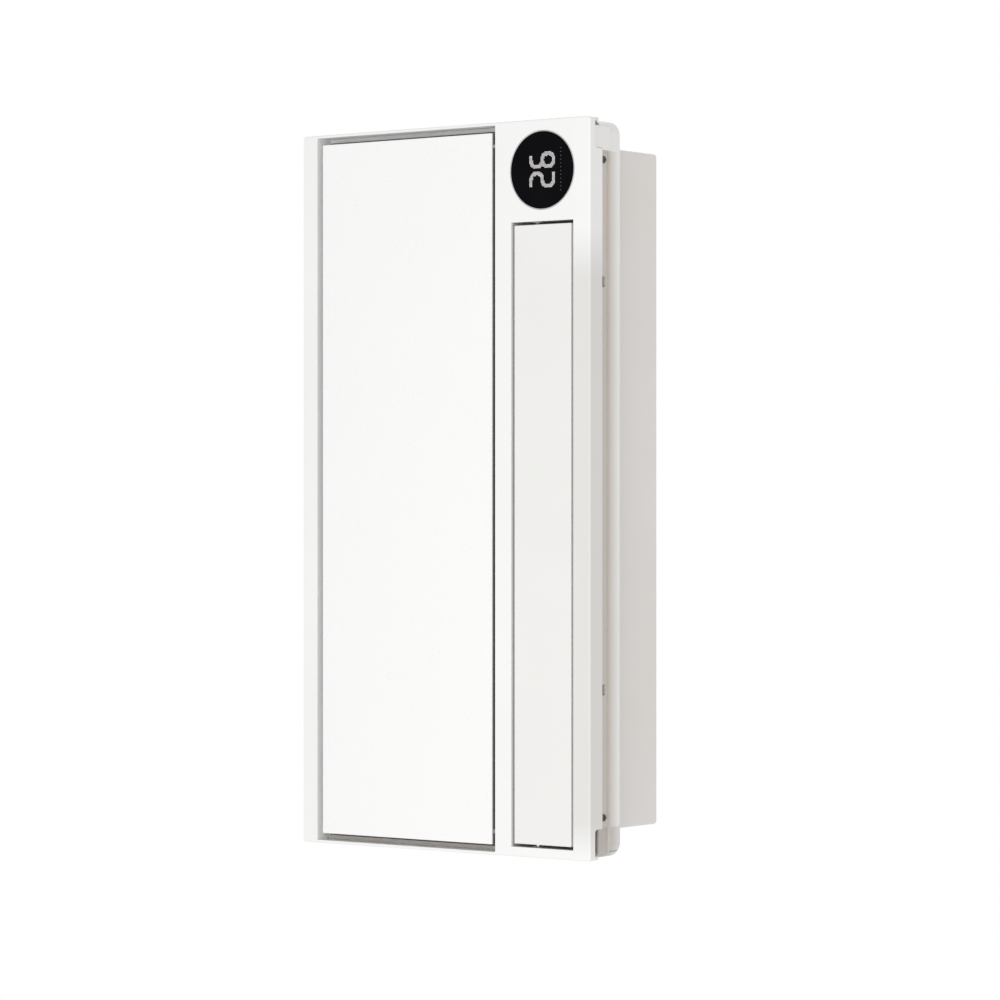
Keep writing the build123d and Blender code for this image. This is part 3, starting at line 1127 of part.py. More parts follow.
def half_ring(outer, inner, y0, y1, lower):
    """Half of a ring about the spigot's axis, without the part beside the flap's pivot."""
    ring = rod_y(outer, SPIGOT_X, y0, y1, SPIGOT_Z) - rod_y(inner, SPIGOT_X, y0 - 1, y1 + 1, SPIGOT_Z)
    z0, z1 = (SPIGOT_Z, SPIGOT_Z + outer + 1)
    if lower:
        z0, z1 = (SPIGOT_Z - outer - 1, FLAP_Z - 12)
    else:
        z0 = FLAP_Z + 8
    return ring & block(SPIGOT_X - outer - 1, SPIGOT_X + outer + 1, y0, y1, z0, z1)


def duct_spigot():
    """The round outlet for the exhaust hose, on a flange, with stops and pivots for the flap."""
    bore = SPIGOT_R - SPIGOT_WALL
    y0, y1 = SPIGOT_Y1 - SPIGOT_LENGTH, SPIGOT_Y1 + SPIGOT_TAIL
    margin = SPIGOT_FLANGE_MARGIN
    flange = rounded_block(-SPIGOT_R - margin, SPIGOT_R + margin, -SPIGOT_R, SPIGOT_R, 0, SPIGOT_FLANGE, 5)
    flange = Pos(SPIGOT_X, SPIGOT_Y1, SPIGOT_Z) * Rot(90, 0, 0) * flange
    pieces = [rod_y(SPIGOT_R, SPIGOT_X, y0, y1, SPIGOT_Z), flange]
    boss_x = sqrt(SPIGOT_R ** 2 - FLAP_PIVOT_RISE ** 2)
    for side in (-1, 1):
        xs = sorted((SPIGOT_X + side * (boss_x - 3), SPIGOT_X + side * (boss_x + 2)))
        pieces.append(rod_x(3.5, *xs, FLAP_Y, FLAP_Z))
    body = union(pieces) - rod_y(bore, SPIGOT_X, y0 - 1, y1 + 1, SPIGOT_Z)
    gap = FLAP_SHEET / 2 + PART_GAP
    stop_r = bore - FLAP_STOP
    body = union([body, half_ring(bore + 0.5, stop_r, FLAP_Y + gap, FLAP_Y + gap + 1.5, True),
                  half_ring(bore + 0.5, stop_r, FLAP_Y - gap - 1.5, FLAP_Y - gap, False)])
    for hole in spigot_screw_holes():
        body -= hole
    return body - rod_x(FLAP_PIN_R + PIN_CLEARANCE, SPIGOT_X - boss_x - 3, SPIGOT_X + boss_x + 3,
                        FLAP_Y, FLAP_Z)


def backdraft_flap():
    """The light disc that the exhaust air pushes open and that hangs shut."""
    r = SPIGOT_R - SPIGOT_WALL - FLAP_CLEARANCE
    disc = rod_y(r, SPIGOT_X, FLAP_Y - FLAP_SHEET / 2, FLAP_Y + FLAP_SHEET / 2, SPIGOT_Z)
    half = sqrt(r ** 2 - (FLAP_PIVOT_RISE + 3) ** 2) - 1
    barrel = rod_x(FLAP_PIN_R + 1.2, SPIGOT_X - half, SPIGOT_X + half, FLAP_Y, FLAP_Z)
    body = union([disc, barrel])
    return body - rod_x(FLAP_PIN_R, SPIGOT_X - r, SPIGOT_X + r, FLAP_Y, FLAP_Z)


def flap_pin():
    """The flap's steel pin, its ends in the spigot's wall."""
    half = sqrt(SPIGOT_R ** 2 - FLAP_PIVOT_RISE ** 2) + 1.5
    return rod_x(FLAP_PIN_R, SPIGOT_X - half, SPIGOT_X + half, FLAP_Y, FLAP_Z)


def spigot_screws():
    """Four screws through the spigot's flange into the housing."""
    one = screw(2.6, 1.6, SPIGOT_SCREW_R, SPIGOT_SCREW_LENGTH)
    seat = Pos(0, SPIGOT_Y1 - SPIGOT_FLANGE, 0) * Rot(90, 0, 0)
    return group([Pos(x, 0, z) * seat * one for x, z in spigot_screw_places()])


# Display

def display_bezel():
    """The thin metal ring round the display, clamped behind the face by its flange."""
    z0, z1 = Z_FACE, Z_INSIDE
    ring = tube_z(DISPLAY_R, DISPLAY_R - DISPLAY_BEZEL, DISPLAY_X, DISPLAY_Y, z0, z1)
    flange = tube_z(DISPLAY_R + DISPLAY_FLANGE, DISPLAY_R - DISPLAY_BEZEL - 1, DISPLAY_X, DISPLAY_Y,
                    z1, z1 + 1.2)
    return union([ring, flange])


def display_glass():
    """The dark round window."""
    z0 = Z_FACE + 0.3
    return rod_z(DISPLAY_R - DISPLAY_BEZEL, DISPLAY_X, DISPLAY_Y, z0, z0 + DISPLAY_GLASS)


def display_module():
    """The dot-matrix light module behind the window."""
    z0 = Z_FACE + 0.3 + DISPLAY_GLASS + PART_GAP
    return block(DISPLAY_X - 16, DISPLAY_X + 16, DISPLAY_Y - 16, DISPLAY_Y + 16, z0, z0 + DISPLAY_BOARD_GAP)


def display_board():
    """The round circuit board that carries the light module."""
    z0 = Z_FACE + 0.3 + DISPLAY_GLASS + PART_GAP + DISPLAY_BOARD_GAP
    board = rod_z(DISPLAY_BOARD_R, DISPLAY_X, DISPLAY_Y, z0, z0 + BOARD)
    plug = block(DISPLAY_X + 4, DISPLAY_X + 18, DISPLAY_Y - 3, DISPLAY_Y + 3, z0 + BOARD, z0 + BOARD + 6)
    return union([board, plug])


# Electrics

def control_base():
    """The tray of the control box, with a post at each corner for the board."""
    x0, y0 = BOX_X, BOX_Y
    body = block(x0, x0 + BOX_LENGTH, y0, y0 + BOX_WIDTH, 0, BOX_FLOOR_HEIGHT)
    body -= block(x0 + BOX_WALL, x0 + BOX_LENGTH - BOX_WALL, y0 + BOX_WALL, y0 + BOX_WIDTH - BOX_WALL,
                  BOX_WALL, BOX_FLOOR_HEIGHT + 1)
    posts = []
    for x in (x0 + POST_INSET, x0 + BOX_LENGTH - POST_INSET):
        for y in (y0 + POST_INSET, y0 + BOX_WIDTH - POST_INSET):
            posts.append(rod_z(POST_R, x, y, BOX_WALL, BOARD_Z))
    return union([body] + posts)


def control_board():
    """The control board with its relays, transformer, capacitor and plug row."""
    x0, y0 = BOX_X + BOARD_INSET, BOX_Y + BOARD_INSET
    x1, y1 = BOX_X + BOX_LENGTH - BOARD_INSET, BOX_Y + BOX_WIDTH - BOARD_INSET
    z1 = BOARD_Z + BOARD
    pieces = [block(x0, x1, y0, y1, BOARD_Z, z1)]
    relay_y = y1 - RELAY_WIDTH * 2
    plug_x = x1 - BOARD_INSET - RELAY_WIDTH
    relay_pitch = RELAY_LENGTH + BOARD_INSET
    for i in range(int((plug_x - x0 - RELAY_INSET) / relay_pitch)):
        x = x0 + RELAY_INSET + i * relay_pitch
        pieces.append(block(x, x + RELAY_LENGTH, relay_y, relay_y + RELAY_WIDTH, z1, z1 + RELAY_HEIGHT))
    coil_x, coil_y = x0 + RELAY_LENGTH, y0 + RELAY_WIDTH
    pieces.append(block(coil_x, coil_x + TRANSFORMER_LENGTH, coil_y, coil_y + TRANSFORMER_WIDTH, z1,
                        z1 + TRANSFORMER_HEIGHT))
    can_x = coil_x + TRANSFORMER_LENGTH + CAPACITOR_R * 2
    pieces.append(rod_z(CAPACITOR_R, can_x, y0 + CAPACITOR_INSET, z1, z1 + CAPACITOR_HEIGHT))
    plug_y = y0 + 2 * BOARD_INSET
    for i in range(int((y1 - plug_y) / PLUG_PITCH)):
        y = plug_y + i * PLUG_PITCH
        pieces.append(block(plug_x, plug_x + RELAY_WIDTH, y, y + PLUG_LENGTH, z1, z1 + PLUG_HEIGHT))
    return union(pieces)


def control_cover():
    """The cover of the control box, with vents over the parts that run warm."""
    x0, y0 = BOX_X, BOX_Y
    x1, y1 = x0 + BOX_LENGTH, y0 + BOX_WIDTH
    body = rounded_block(x0, x1, y0, y1, BOX_FLOOR_HEIGHT, BOX_HEIGHT, BOX_CORNER_R)
    body -= block(x0 + BOX_WALL, x1 - BOX_WALL, y0 + BOX_WALL, y1 - BOX_WALL, BOX_FLOOR_HEIGHT - 1,
                  BOX_HEIGHT - BOX_WALL)
    vent_x, vent_y = x0 + VENT_INSET, y0 + BOARD_INSET + RELAY_WIDTH
    for i in range(int(BOX_LENGTH / 2 / VENT_PITCH)):
        x = vent_x + i * VENT_PITCH
        body -= block(x, x + VENT_WIDTH, vent_y, vent_y + VENT_LENGTH, BOX_HEIGHT - BOX_WALL - 1,
                      BOX_HEIGHT + 1)
    return body


def lamp_driver():
    """The lamp's power supply, in a folded metal case with two feet."""
    x0, y1 = BOX_X + DRIVER_INSET, BOX_Y - DRIVER_GAP
    x1, y0 = BOX_X + BOX_LENGTH - DRIVER_END_INSET, y1 - DRIVER_WIDTH
    case = rounded_block(x0, x1, y0, y1, 0, DRIVER_HEIGHT, DRIVER_CORNER_R)
    sheet = 1.5 * HOUSING_SHEET
    inset = DRIVER_FOOT
    feet = [block(x0 - DRIVER_FOOT, x0 + sheet, y0 + inset, y1 - inset, 0, sheet),
            block(x1 - sheet, x1 + DRIVER_FOOT, y0 + inset, y1 - inset, 0, sheet)]
    return union([case] + feet)


def terminal_block():
    """The mains terminal row beside the cable gland."""
    length = TERMINAL_COUNT * TERMINAL_PITCH
    x0 = GLAND_X - length / 2
    y0 = -HOUSING_WIDTH / 2 + TERMINAL_INSET
    body = block(x0, x0 + length, y0, y0 + TERMINAL_WIDTH, 0, TERMINAL_HEIGHT)
    for i in range(TERMINAL_COUNT):
        x = x0 + (i + 0.5) * TERMINAL_PITCH
        for y in (y0 + TERMINAL_WIDTH / 4, y0 + TERMINAL_WIDTH * 3 / 4):
            body -= rod_z(TERMINAL_HOLE_R, x, y, TERMINAL_HEIGHT - TERMINAL_HOLE_DEPTH, TERMINAL_HEIGHT + 1)
        body -= block(x - TERMINAL_SLOT / 2, x + TERMINAL_SLOT / 2, y0 - 1, y0 + 4, TERMINAL_FLOOR,
                      TERMINAL_HEIGHT / 2)
    return body


def cable_gland():
    """The gland for the mains cable: threaded sleeve, lock nut and clamping cap, with its bore."""
    wall_y = -HOUSING_WIDTH / 2
    cap_y0 = wall_y - GLAND_LENGTH * 0.62
    inner_y1 = cap_y0 + GLAND_LENGTH
    hexagon = RegularPolygon(GLAND_HEX / 2, 6, major_radius=False)
    turn = Rot(90, 0, 0)
    sleeve = rod_y(GLAND_R, GLAND_X, wall_y - 2, inner_y1, GLAND_Z)
    cap = Pos(GLAND_X, wall_y - 6, GLAND_Z) * turn * extrude(hexagon, amount=wall_y - 6 - cap_y0 - 3)
    nose = rod_y(GLAND_R * 0.82, GLAND_X, cap_y0, wall_y - 2, GLAND_Z)
    collar = Pos(GLAND_X, wall_y, GLAND_Z) * turn * extrude(hexagon, amount=4)
    nut = Pos(GLAND_X, wall_y + HOUSING_SHEET + 4, GLAND_Z) * turn * extrude(hexagon, amount=4)
    body = union([sleeve, cap, nose, collar, nut])
    return body - rod_y(GLAND_BORE_R, GLAND_X, cap_y0 - 1, inner_y1 + 1, GLAND_Z)


PARTS = {
    "face_frame": face_frame, "mounting_tray": mounting_tray, "housing": housing,
    "frame_screws": frame_screws, "flange_screws": flange_screws,
    "lamp_diffuser": lamp_diffuser, "lamp_light_guide": lamp_light_guide,
    "lamp_led_strips": lamp_led_strips, "lamp_back_plate": lamp_back_plate,
    "lamp_hinge_pins": lamp_hinge_pins, "lamp_hinge_arms": lamp_hinge_arms,
    "lamp_catches": lamp_catches, "lamp_catch_magnets": lamp_catch_magnets,
    "louver_vane": louver_vane, "louver_pin": louver_pin, "louver_bushes": louver_bushes,
    "louver_sector": louver_sector, "louver_pinion": louver_pinion,
    "louver_motor_shaft": louver_motor_shaft, "louver_motor": louver_motor,
    "louver_motor_bracket": louver_motor_bracket,
    "outlet_duct": outlet_duct, "heater_frame": heater_frame, "heater_bars": heater_bars,
    "heater_fins": heater_fins, "thermal_cutout": thermal_cutout, "outlet_plenum": outlet_plenum,
    "scroll_casing": scroll_casing, "scroll_cover": scroll_cover, "inlet_ring": inlet_ring,
    "fan_impeller": fan_impeller, "fan_shaft": fan_shaft, "fan_bearings": fan_bearings,
    "fan_motor": fan_motor, "inlet_grille": inlet_grille,
    "switching_chamber": switching_chamber, "damper_flap": damper_flap,
    "damper_shaft": damper_shaft, "damper_motor": damper_motor,
    "duct_spigot": duct_spigot, "backdraft_flap": backdraft_flap, "flap_pin": flap_pin,
    "spigot_screws": spigot_screws,
    "display_bezel": display_bezel, "display_glass": display_glass,
    "display_module": display_module, "display_board": display_board,
    "control_base": control_base, "control_board": control_board, "control_cover": control_cover,
    "lamp_driver": lamp_driver, "terminal_block": terminal_block, "cable_gland": cable_gland,
}


def main():
    """Writes one STEP file for each piece."""
    os.makedirs("parts", exist_ok=True)
    for name, make in PARTS.items():
        export_step(make(), f"parts/{name}.step")


main()
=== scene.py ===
import math

import bmesh
import bpy
from mathutils import Matrix, Vector


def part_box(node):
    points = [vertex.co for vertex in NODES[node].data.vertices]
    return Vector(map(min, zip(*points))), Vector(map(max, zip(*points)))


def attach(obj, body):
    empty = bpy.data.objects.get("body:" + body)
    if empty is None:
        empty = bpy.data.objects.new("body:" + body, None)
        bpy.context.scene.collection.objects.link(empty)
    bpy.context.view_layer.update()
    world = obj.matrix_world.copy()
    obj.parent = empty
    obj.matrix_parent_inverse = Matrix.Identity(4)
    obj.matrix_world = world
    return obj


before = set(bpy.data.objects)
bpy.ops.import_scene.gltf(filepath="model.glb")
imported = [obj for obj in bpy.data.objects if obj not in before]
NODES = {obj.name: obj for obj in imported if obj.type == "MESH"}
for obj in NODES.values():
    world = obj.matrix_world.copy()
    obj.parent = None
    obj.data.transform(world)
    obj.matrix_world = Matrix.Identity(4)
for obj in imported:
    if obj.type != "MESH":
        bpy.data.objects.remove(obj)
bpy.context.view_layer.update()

# Looks for a bathroom ceiling heater that hangs face down. Lengths are metres, in the frame's axes:
# X along the face towards the display, Y across it towards the louver, Z up into the ceiling.

MM = 0.001


# Camera, at the photograph's viewing angle

IMAGE_SIZE = 1000
SENSOR = 36.0
FOCAL_PIXELS = 3788.0
CAMERA_YAW = math.radians(36.83)
CAMERA_DEPTH = 3.135
CENTRE_PIXEL = (441.9, 488.9)


def make_camera():
    """A camera below the face and to its louver side, with the long way of the face upright."""
    forward = Vector((0, -math.sin(CAMERA_YAW), math.cos(CAMERA_YAW)))
    up = Vector((1, 0, 0))
    right = forward.cross(up)
    face_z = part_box("face_frame")[0].z
    target = Vector((0, 0, face_z))
    half = IMAGE_SIZE / 2
    side = (CENTRE_PIXEL[0] - half) / FOCAL_PIXELS * CAMERA_DEPTH
    rise = (half - CENTRE_PIXEL[1]) / FOCAL_PIXELS * CAMERA_DEPTH
    place = target - forward * CAMERA_DEPTH - right * side - up * rise
    data = bpy.data.cameras.new("camera")
    data.sensor_width = SENSOR
    data.lens = FOCAL_PIXELS * SENSOR / IMAGE_SIZE
    data.clip_start, data.clip_end = 0.05, 60
    camera = bpy.data.objects.new("camera", data)
    bpy.context.scene.collection.objects.link(camera)
    turn = Matrix((right, up, -forward)).transposed().to_4x4()
    camera.matrix_world = Matrix.Translation(place) @ turn
    bpy.context.scene.camera = camera


# Light, world and floor

AMBIENT = 0.62
FLOOR_Z = -2.75
FLOOR_HALF = 8.0
WHITE = (1, 1, 1)

# Name, place, aim, size, power and colour of each lamp
LAMPS = [
    ("key_lamp", (-0.4, 0.9, -2.3), (0, 0, 0), 2.0, 26, WHITE),
    ("side_lamp", (0.8, 3.2, 0.4), (0, 0, 0), 2.0, 4, WHITE),
    ("warm_lamp", (-1.9, 2.3, -0.5), (-0.25, 0.1, 0), 1.2, 2.2, (1.0, 0.72, 0.52)),
    ("top_lamp", (0.9, -1.2, 3.0), (0, 0, 0), 2.4, 36, WHITE),
]


def area_light(name, place, aim, size, power, colour):
    """A soft square lamp that the camera doesn't see."""
    data = bpy.data.lights.new(name, "AREA")
    data.shape = "SQUARE"
    data.size = size
    data.energy = power
    data.color = colour
    lamp = bpy.data.objects.new(name, data)
    lamp.location = place
    lamp.rotation_euler = (Vector(aim) - Vector(place)).to_track_quat("-Z", "Y").to_euler()
    lamp.visible_camera = False
    bpy.context.scene.collection.objects.link(lamp)


def math_node(nodes, links, operation, *values):
    """The result of a math node; each value is a socket or a number."""
    node = nodes.new("ShaderNodeMath")
    node.operation = operation
    for socket, value in zip(node.inputs, values):
        if isinstance(value, (int, float)):
            socket.default_value = value
        else:
            links.new(value, socket)
    return node.outputs[0]


def seen_ray(nodes, links):
    """A socket that is 1 for camera, glossy and transmission rays."""
    rays = nodes.new("ShaderNodeLightPath").outputs
    either = math_node(nodes, links, "MAXIMUM", rays["Is Camera Ray"], rays["Is Glossy Ray"])
    return math_node(nodes, links, "MAXIMUM", either, rays["Is Transmission Ray"])


def make_world():
    """White where it is seen, and a plain soft level where it lights the object."""
    world = bpy.data.worlds.new("studio")
    bpy.context.scene.world = world
    world.use_nodes = True
    nodes, links = world.node_tree.nodes, world.node_tree.links
    nodes.clear()
    shown = nodes.new("ShaderNodeBackground")
    shown.inputs["Color"].default_value = (*WHITE, 1)
    lit = nodes.new("ShaderNodeBackground")
    lit.inputs["Color"].default_value = (*WHITE, 1)
    lit.inputs["Strength"].default_value = AMBIENT
    mix = nodes.new("ShaderNodeMixShader")
    out = nodes.new("ShaderNodeOutputWorld")
    links.new(seen_ray(nodes, links), mix.inputs[0])
    links.new(lit.outputs[0], mix.inputs[1])
    links.new(shown.outputs[0], mix.inputs[2])
    links.new(mix.outputs[0], out.inputs[0])


def make_floor():
    """A plain pale floor, a room's height below the ceiling."""
    mesh = bpy.data.meshes.new("floor")
    h = FLOOR_HALF
    corners = [(x, y, FLOOR_Z) for x, y in ((-h, -h), (h, -h), (h, h), (-h, h))]
    mesh.from_pydata(corners, [], [(0, 1, 2, 3)])
    floor = bpy.data.objects.new("floor", mesh)
    bpy.context.scene.collection.objects.link(floor)
    surface = Surface("floor_paint", (0.97, 0.97, 0.965), 0.9)
    surface.tone(0.01, 3)
    mesh.materials.append(surface.material)


def make_lights():
    """A key below the face, a fill and a weak warm lamp at the louver side, and one above."""
    for lamp in LAMPS:
        area_light(*lamp)


# Materials

NOISE_LOW, NOISE_HIGH = 0.3, 0.7
STEEL = (0.62, 0.62, 0.63)
UPRIGHT = (40, 40, 1)
BOARD_GREEN = (0.03, 0.17, 0.08)
BOARD_THICKNESS = 1.6 * MM
BOARD_MARGIN = 0.2 * MM

# Painted shade on the bevel beside the louver: its grey, and where it fades in from the louver's
# edge and the face's ends
BEVEL_PAINTED_SHADE = (0.83, 0.825, 0.81)
BEVEL_SIDE = (-2 * MM, 4 * MM)
BEVEL_TOP = (90 * MM, 130 * MM)
BEVEL_FOOT = 30 * MM

# The tray: the painted shade in its groove and how far it reaches, and the ribs at its lower end
GROOVE_PAINTED_SHADE = (0.75, 0.71, 0.67)
GROOVE_REACH = 11 * MM
GROOVE_END = (26 * MM, 27 * MM)
REEDED_END = (27 * MM, 25 * MM)
REED_PITCH = 1.3 * MM
REED_DEPTH = 0.25 * MM

# Painted shade in the gap on the diffuser's hinged side, from its edge and from its front
HINGE_SIDE_PAINTED_SHADE = (0.10, 0.095, 0.09)
HINGE_SHADE_SIDE = (0.5 * MM, 0.1 * MM)
HINGE_SHADE_FRONT = (1.2 * MM, 2.4 * MM)


class Surface:
    """A Principled material with object-space noise for its colour, roughness and relief."""

    def __init__(self, name, colour, roughness, metallic=0.0, specular=0.5):
        self.material = bpy.data.materials.new(name)
        self.material.use_nodes = True
        self.nodes = self.material.node_tree.nodes
        self.links = self.material.node_tree.links
        self.nodes.clear()
        self.shader = self.nodes.new("ShaderNodeBsdfPrincipled")
        out = self.nodes.new("ShaderNodeOutputMaterial")
        self.links.new(self.shader.outputs[0], out.inputs["Surface"])
        self.colour = colour
        self.roughness = roughness
        self.shader.inputs["Base Color"].default_value = (*colour, 1)
        self.shader.inputs["Roughness"].default_value = roughness
        self.shader.inputs["Metallic"].default_value = metallic
        self.shader.inputs["Specular IOR Level"].default_value = specular
        self.place = self.nodes.new("ShaderNodeTexCoord").outputs["Object"]
        self.relief = None
        self.material.diffuse_color = (*colour, 1)

    def stretched(self, scale):
        """Object coordinates stretched along an axis, for brushed or drawn marks."""
        mapping = self.nodes.new("ShaderNodeMapping")
        mapping.inputs["Scale"].default_value = scale
        self.links.new(self.place, mapping.inputs["Vector"])
        return mapping.outputs[0]

    def noise(self, scale, detail=2.0, where=None):
        node = self.nodes.new("ShaderNodeTexNoise")
        node.inputs["Scale"].default_value = scale
        node.inputs["Detail"].default_value = detail
        self.links.new(where or self.place, node.inputs["Vector"])
        return node.outputs["Fac"]

    def cells(self, scale):
        node = self.nodes.new("ShaderNodeTexVoronoi")
        node.inputs["Scale"].default_value = scale
        self.links.new(self.place, node.inputs["Vector"])
        return node.outputs["Color"]

    def along(self, axis):
        """The place on one axis."""
        node = self.nodes.new("ShaderNodeSeparateXYZ")
        self.links.new(self.place, node.inputs[0])
        return node.outputs[axis]

    def maths(self, operation, *values):
        return math_node(self.nodes, self.links, operation, *values)

    def remap(self, value, start, end, low=0.0, high=1.0):
        """A value spread from start and end to low and high, and held there beyond them."""
        node = self.nodes.new("ShaderNodeMapRange")
        node.inputs["From Min"].default_value = start
        node.inputs["From Max"].default_value = end
        node.inputs["To Min"].default_value = low
        node.inputs["To Max"].default_value = high
        self.links.new(value, node.inputs["Value"])
        return node.outputs[0]

    def ramp(self, value, stops):
        """A colour ramp; stops are (position, colour)."""
        node = self.nodes.new("ShaderNodeValToRGB")
        elements = node.color_ramp.elements
        for spare in range(len(stops) - 2):
            elements.new(0.5)
        for element, (position, colour) in zip(elements, stops):
            element.position = position
            element.color = (*colour, 1)
        self.links.new(value, node.inputs["Fac"])
        return node.outputs["Color"]

    def tone(self, spread, scale, detail=2.0, tint=(1, 1, 1)):
        """Slight uneven colour, from darker to lighter than the base."""
        dark = [c * (1 - spread) * t for c, t in zip(self.colour, tint)]
        light = [min(1, c * (1 + spread)) for c in self.colour]
        self.paint(self.ramp(self.noise(scale, detail), [(NOISE_LOW, dark), (NOISE_HIGH, light)]))

    def paint(self, colour):
        """A colour socket as the base colour."""
        self.links.new(colour, self.shader.inputs["Base Color"])

    def polish(self, spread, scale, where=None):
        """Uneven roughness round the base value."""
        rough = self.remap(self.noise(scale, 3, where), NOISE_LOW, NOISE_HIGH,
                           self.roughness - spread, self.roughness + spread)
        self.links.new(rough, self.shader.inputs["Roughness"])

    def bump(self, value, depth, strength=1.0):
        """Relief of a given depth in metres, over any relief added before."""
        node = self.nodes.new("ShaderNodeBump")
        node.inputs["Distance"].default_value = depth
        node.inputs["Strength"].default_value = strength
        self.links.new(value, node.inputs["Height"])
        if self.relief:
            self.links.new(self.relief, node.inputs["Normal"])
        self.relief = node.outputs[0]
        self.links.new(self.relief, self.shader.inputs["Normal"])

    def beyond(self, axis, start, end):
        """0 at the start on an axis and 1 at the end, with a straight change between the two."""
        return self.remap(self.along(axis), start, end)

    def both(self, first, second):
        """The product of two masks."""
        return self.maths("MULTIPLY", first, second)

    def over(self, mode, mask, colour):
        """The colour so far, blended with another where the mask is 1."""
        node = self.nodes.new("ShaderNodeMix")
        node.data_type = "RGBA"
        node.blend_type = mode
        self.links.new(mask, node.inputs["Factor"])
        self.links.new(self.shader.inputs["Base Color"].links[0].from_socket, node.inputs["A"])
        node.inputs["B"].default_value = (*colour, 1)
        self.paint(node.outputs["Result"])

    def reeded(self, mask, pitch, depth):
        """Fine ribs along the face, stacked in Z, where the mask is 1."""
        wave = self.maths("SINE", self.maths("MULTIPLY", self.along("Z"), 2 * math.pi / pitch))
        self.bump(self.both(wave, mask), depth)

    def soft_edges(self, radius):
        """Light caught on the edges, as on a moulding or a bent sheet."""
        node = self.nodes.new("ShaderNodeBevel")
        node.samples = 4
        node.inputs["Radius"].default_value = radius
        self.relief = node.outputs[0]
        self.links.new(self.relief, self.shader.inputs["Normal"])


def moulded(name, colour, roughness, grain=2600, depth=0.006 * MM, spread=0.012, edge=0.3 * MM,
            polish=0.05):
    """Moulded plastic with a fine spark-eroded grain."""
    surface = Surface(name, colour, roughness)
    surface.soft_edges(edge)
    surface.tone(spread, 9)
    surface.polish(polish, 60)
    surface.bump(surface.noise(grain, 1), depth, 0.6)
    return surface


def powder_coat(name, colour, roughness=0.42):
    """Painted sheet with a soft orange-peel skin."""
    surface = Surface(name, colour, roughness)
    surface.soft_edges(0.4 * MM)
    surface.tone(0.012, 6, tint=(1.0, 0.992, 0.985))
    surface.polish(0.05, 30)
    surface.bump(surface.noise(650, 2), 0.02 * MM, 0.5)
    surface.bump(surface.noise(11, 1), 0.12 * MM, 0.3)
    return surface


def galvanised(name, colour):
    """Zinc-coated sheet with its spangle."""
    surface = Surface(name, colour, 0.42, metallic=0.85)
    dark = [c * 0.86 for c in colour]
    surface.paint(surface.ramp(surface.cells(140), [(0.0, dark), (1.0, colour)]))
    surface.polish(0.08, 90)
    surface.bump(surface.noise(900, 2), 0.006 * MM, 0.4)
    return surface


def brushed(name, colour, roughness, along=(1, 40, 40), metallic=1.0):
    """Drawn or turned metal with fine marks along one way."""
    surface = Surface(name, colour, roughness, metallic=metallic)
    marks = surface.noise(90, 3, surface.stretched(along))
    dark = [c * 0.88 for c in colour]
    surface.paint(surface.ramp(marks, [(NOISE_LOW, dark), (NOISE_HIGH, colour)]))
    surface.polish(0.06, 90, surface.stretched(along))
    surface.bump(marks, 0.008 * MM, 0.4)
    return surface


def circuit_board(name, board_top):
    """Green board with lighter tracks; what stands above its top is dark."""
    surface = Surface(name, BOARD_GREEN, 0.35)
    tracks = surface.nodes.new("ShaderNodeTexBrick")
    tracks.inputs["Scale"].default_value = 120
    tracks.inputs["Mortar Size"].default_value = 0.03
    tracks.inputs["Color1"].default_value = (*BOARD_GREEN, 1)
    tracks.inputs["Color2"].default_value = (0.025, 0.15, 0.075, 1)
    tracks.inputs["Mortar"].default_value = (0.09, 0.30, 0.15, 1)
    surface.links.new(surface.place, tracks.inputs["Vector"])
    surface.paint(tracks.outputs["Color"])
    above = surface.maths("GREATER_THAN", surface.along("Z"), board_top + BOARD_MARGIN)
    surface.over("MIX", above, (0.05, 0.055, 0.06))
    surface.bump(surface.noise(1500, 1), 0.01 * MM, 0.4)
    return surface


def face_plastic():
    """The frame's plastic, with painted shade greying the bevel beside the louver."""
    surface = moulded("face_plastic", (0.925, 0.925, 0.92), 0.34)
    low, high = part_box("face_frame")
    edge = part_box("louver_vane")[1].y
    top = surface.beyond("X", high.x - BEVEL_TOP[0], high.x - BEVEL_TOP[1])
    foot = surface.beyond("X", low.x, low.x + BEVEL_FOOT)
    side = surface.beyond("Y", edge + BEVEL_SIDE[0], edge + BEVEL_SIDE[1])
    # Painted shade: the bevel strip beside the louver is greyed, fading out towards the face's ends
    surface.over("MULTIPLY", surface.both(side, surface.both(top, foot)), BEVEL_PAINTED_SHADE)
    return surface


def tray_plastic():
    """The tray's plastic: painted shade darkening its grooves towards the frame, and reeded at its
    lower end.
    """
    surface = moulded("tray_plastic", (0.89, 0.885, 0.87), 0.42, spread=0.015)
    low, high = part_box("face_frame")
    near = surface.beyond("Z", high.z + GROOVE_REACH, high.z)
    short = surface.beyond("X", high.x - GROOVE_END[0], high.x - GROOVE_END[1])
    # Painted shade: the tray darkens towards the frame's skirt, short of the display end
    surface.over("MULTIPLY", surface.both(near, short), GROOVE_PAINTED_SHADE)
    end = surface.beyond("X", low.x + REEDED_END[0], low.x + REEDED_END[1])
    surface.reeded(end, REED_PITCH, REED_DEPTH)
    return surface


def opal_panel():
    """The lamp's opal plastic, with painted shade on its hinged side behind its front."""
    surface = moulded("opal_panel", (0.955, 0.955, 0.955), 0.28, grain=4000, depth=0.002 * MM,
                      spread=0.004, polish=0.01)
    low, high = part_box("lamp_diffuser")
    side = surface.beyond("Y", high.y - HINGE_SHADE_SIDE[0], high.y - HINGE_SHADE_SIDE[1])
    behind = surface.beyond("Z", low.z + HINGE_SHADE_FRONT[0], low.z + HINGE_SHADE_FRONT[1])
    # Painted shade: a dark band on the diffuser's hinged side, where its gap lies in shade
    surface.over("MULTIPLY", surface.both(side, behind), HINGE_SIDE_PAINTED_SHADE)
    return surface


def black_glass(name):
    """The display's dark window: a clear gloss over black."""
    surface = Surface(name, (0.003, 0.003, 0.004), 0.12, specular=0.04)
    surface.tone(0.2, 40)
    surface.bump(surface.noise(25, 1), 0.01 * MM, 0.1)
    return surface


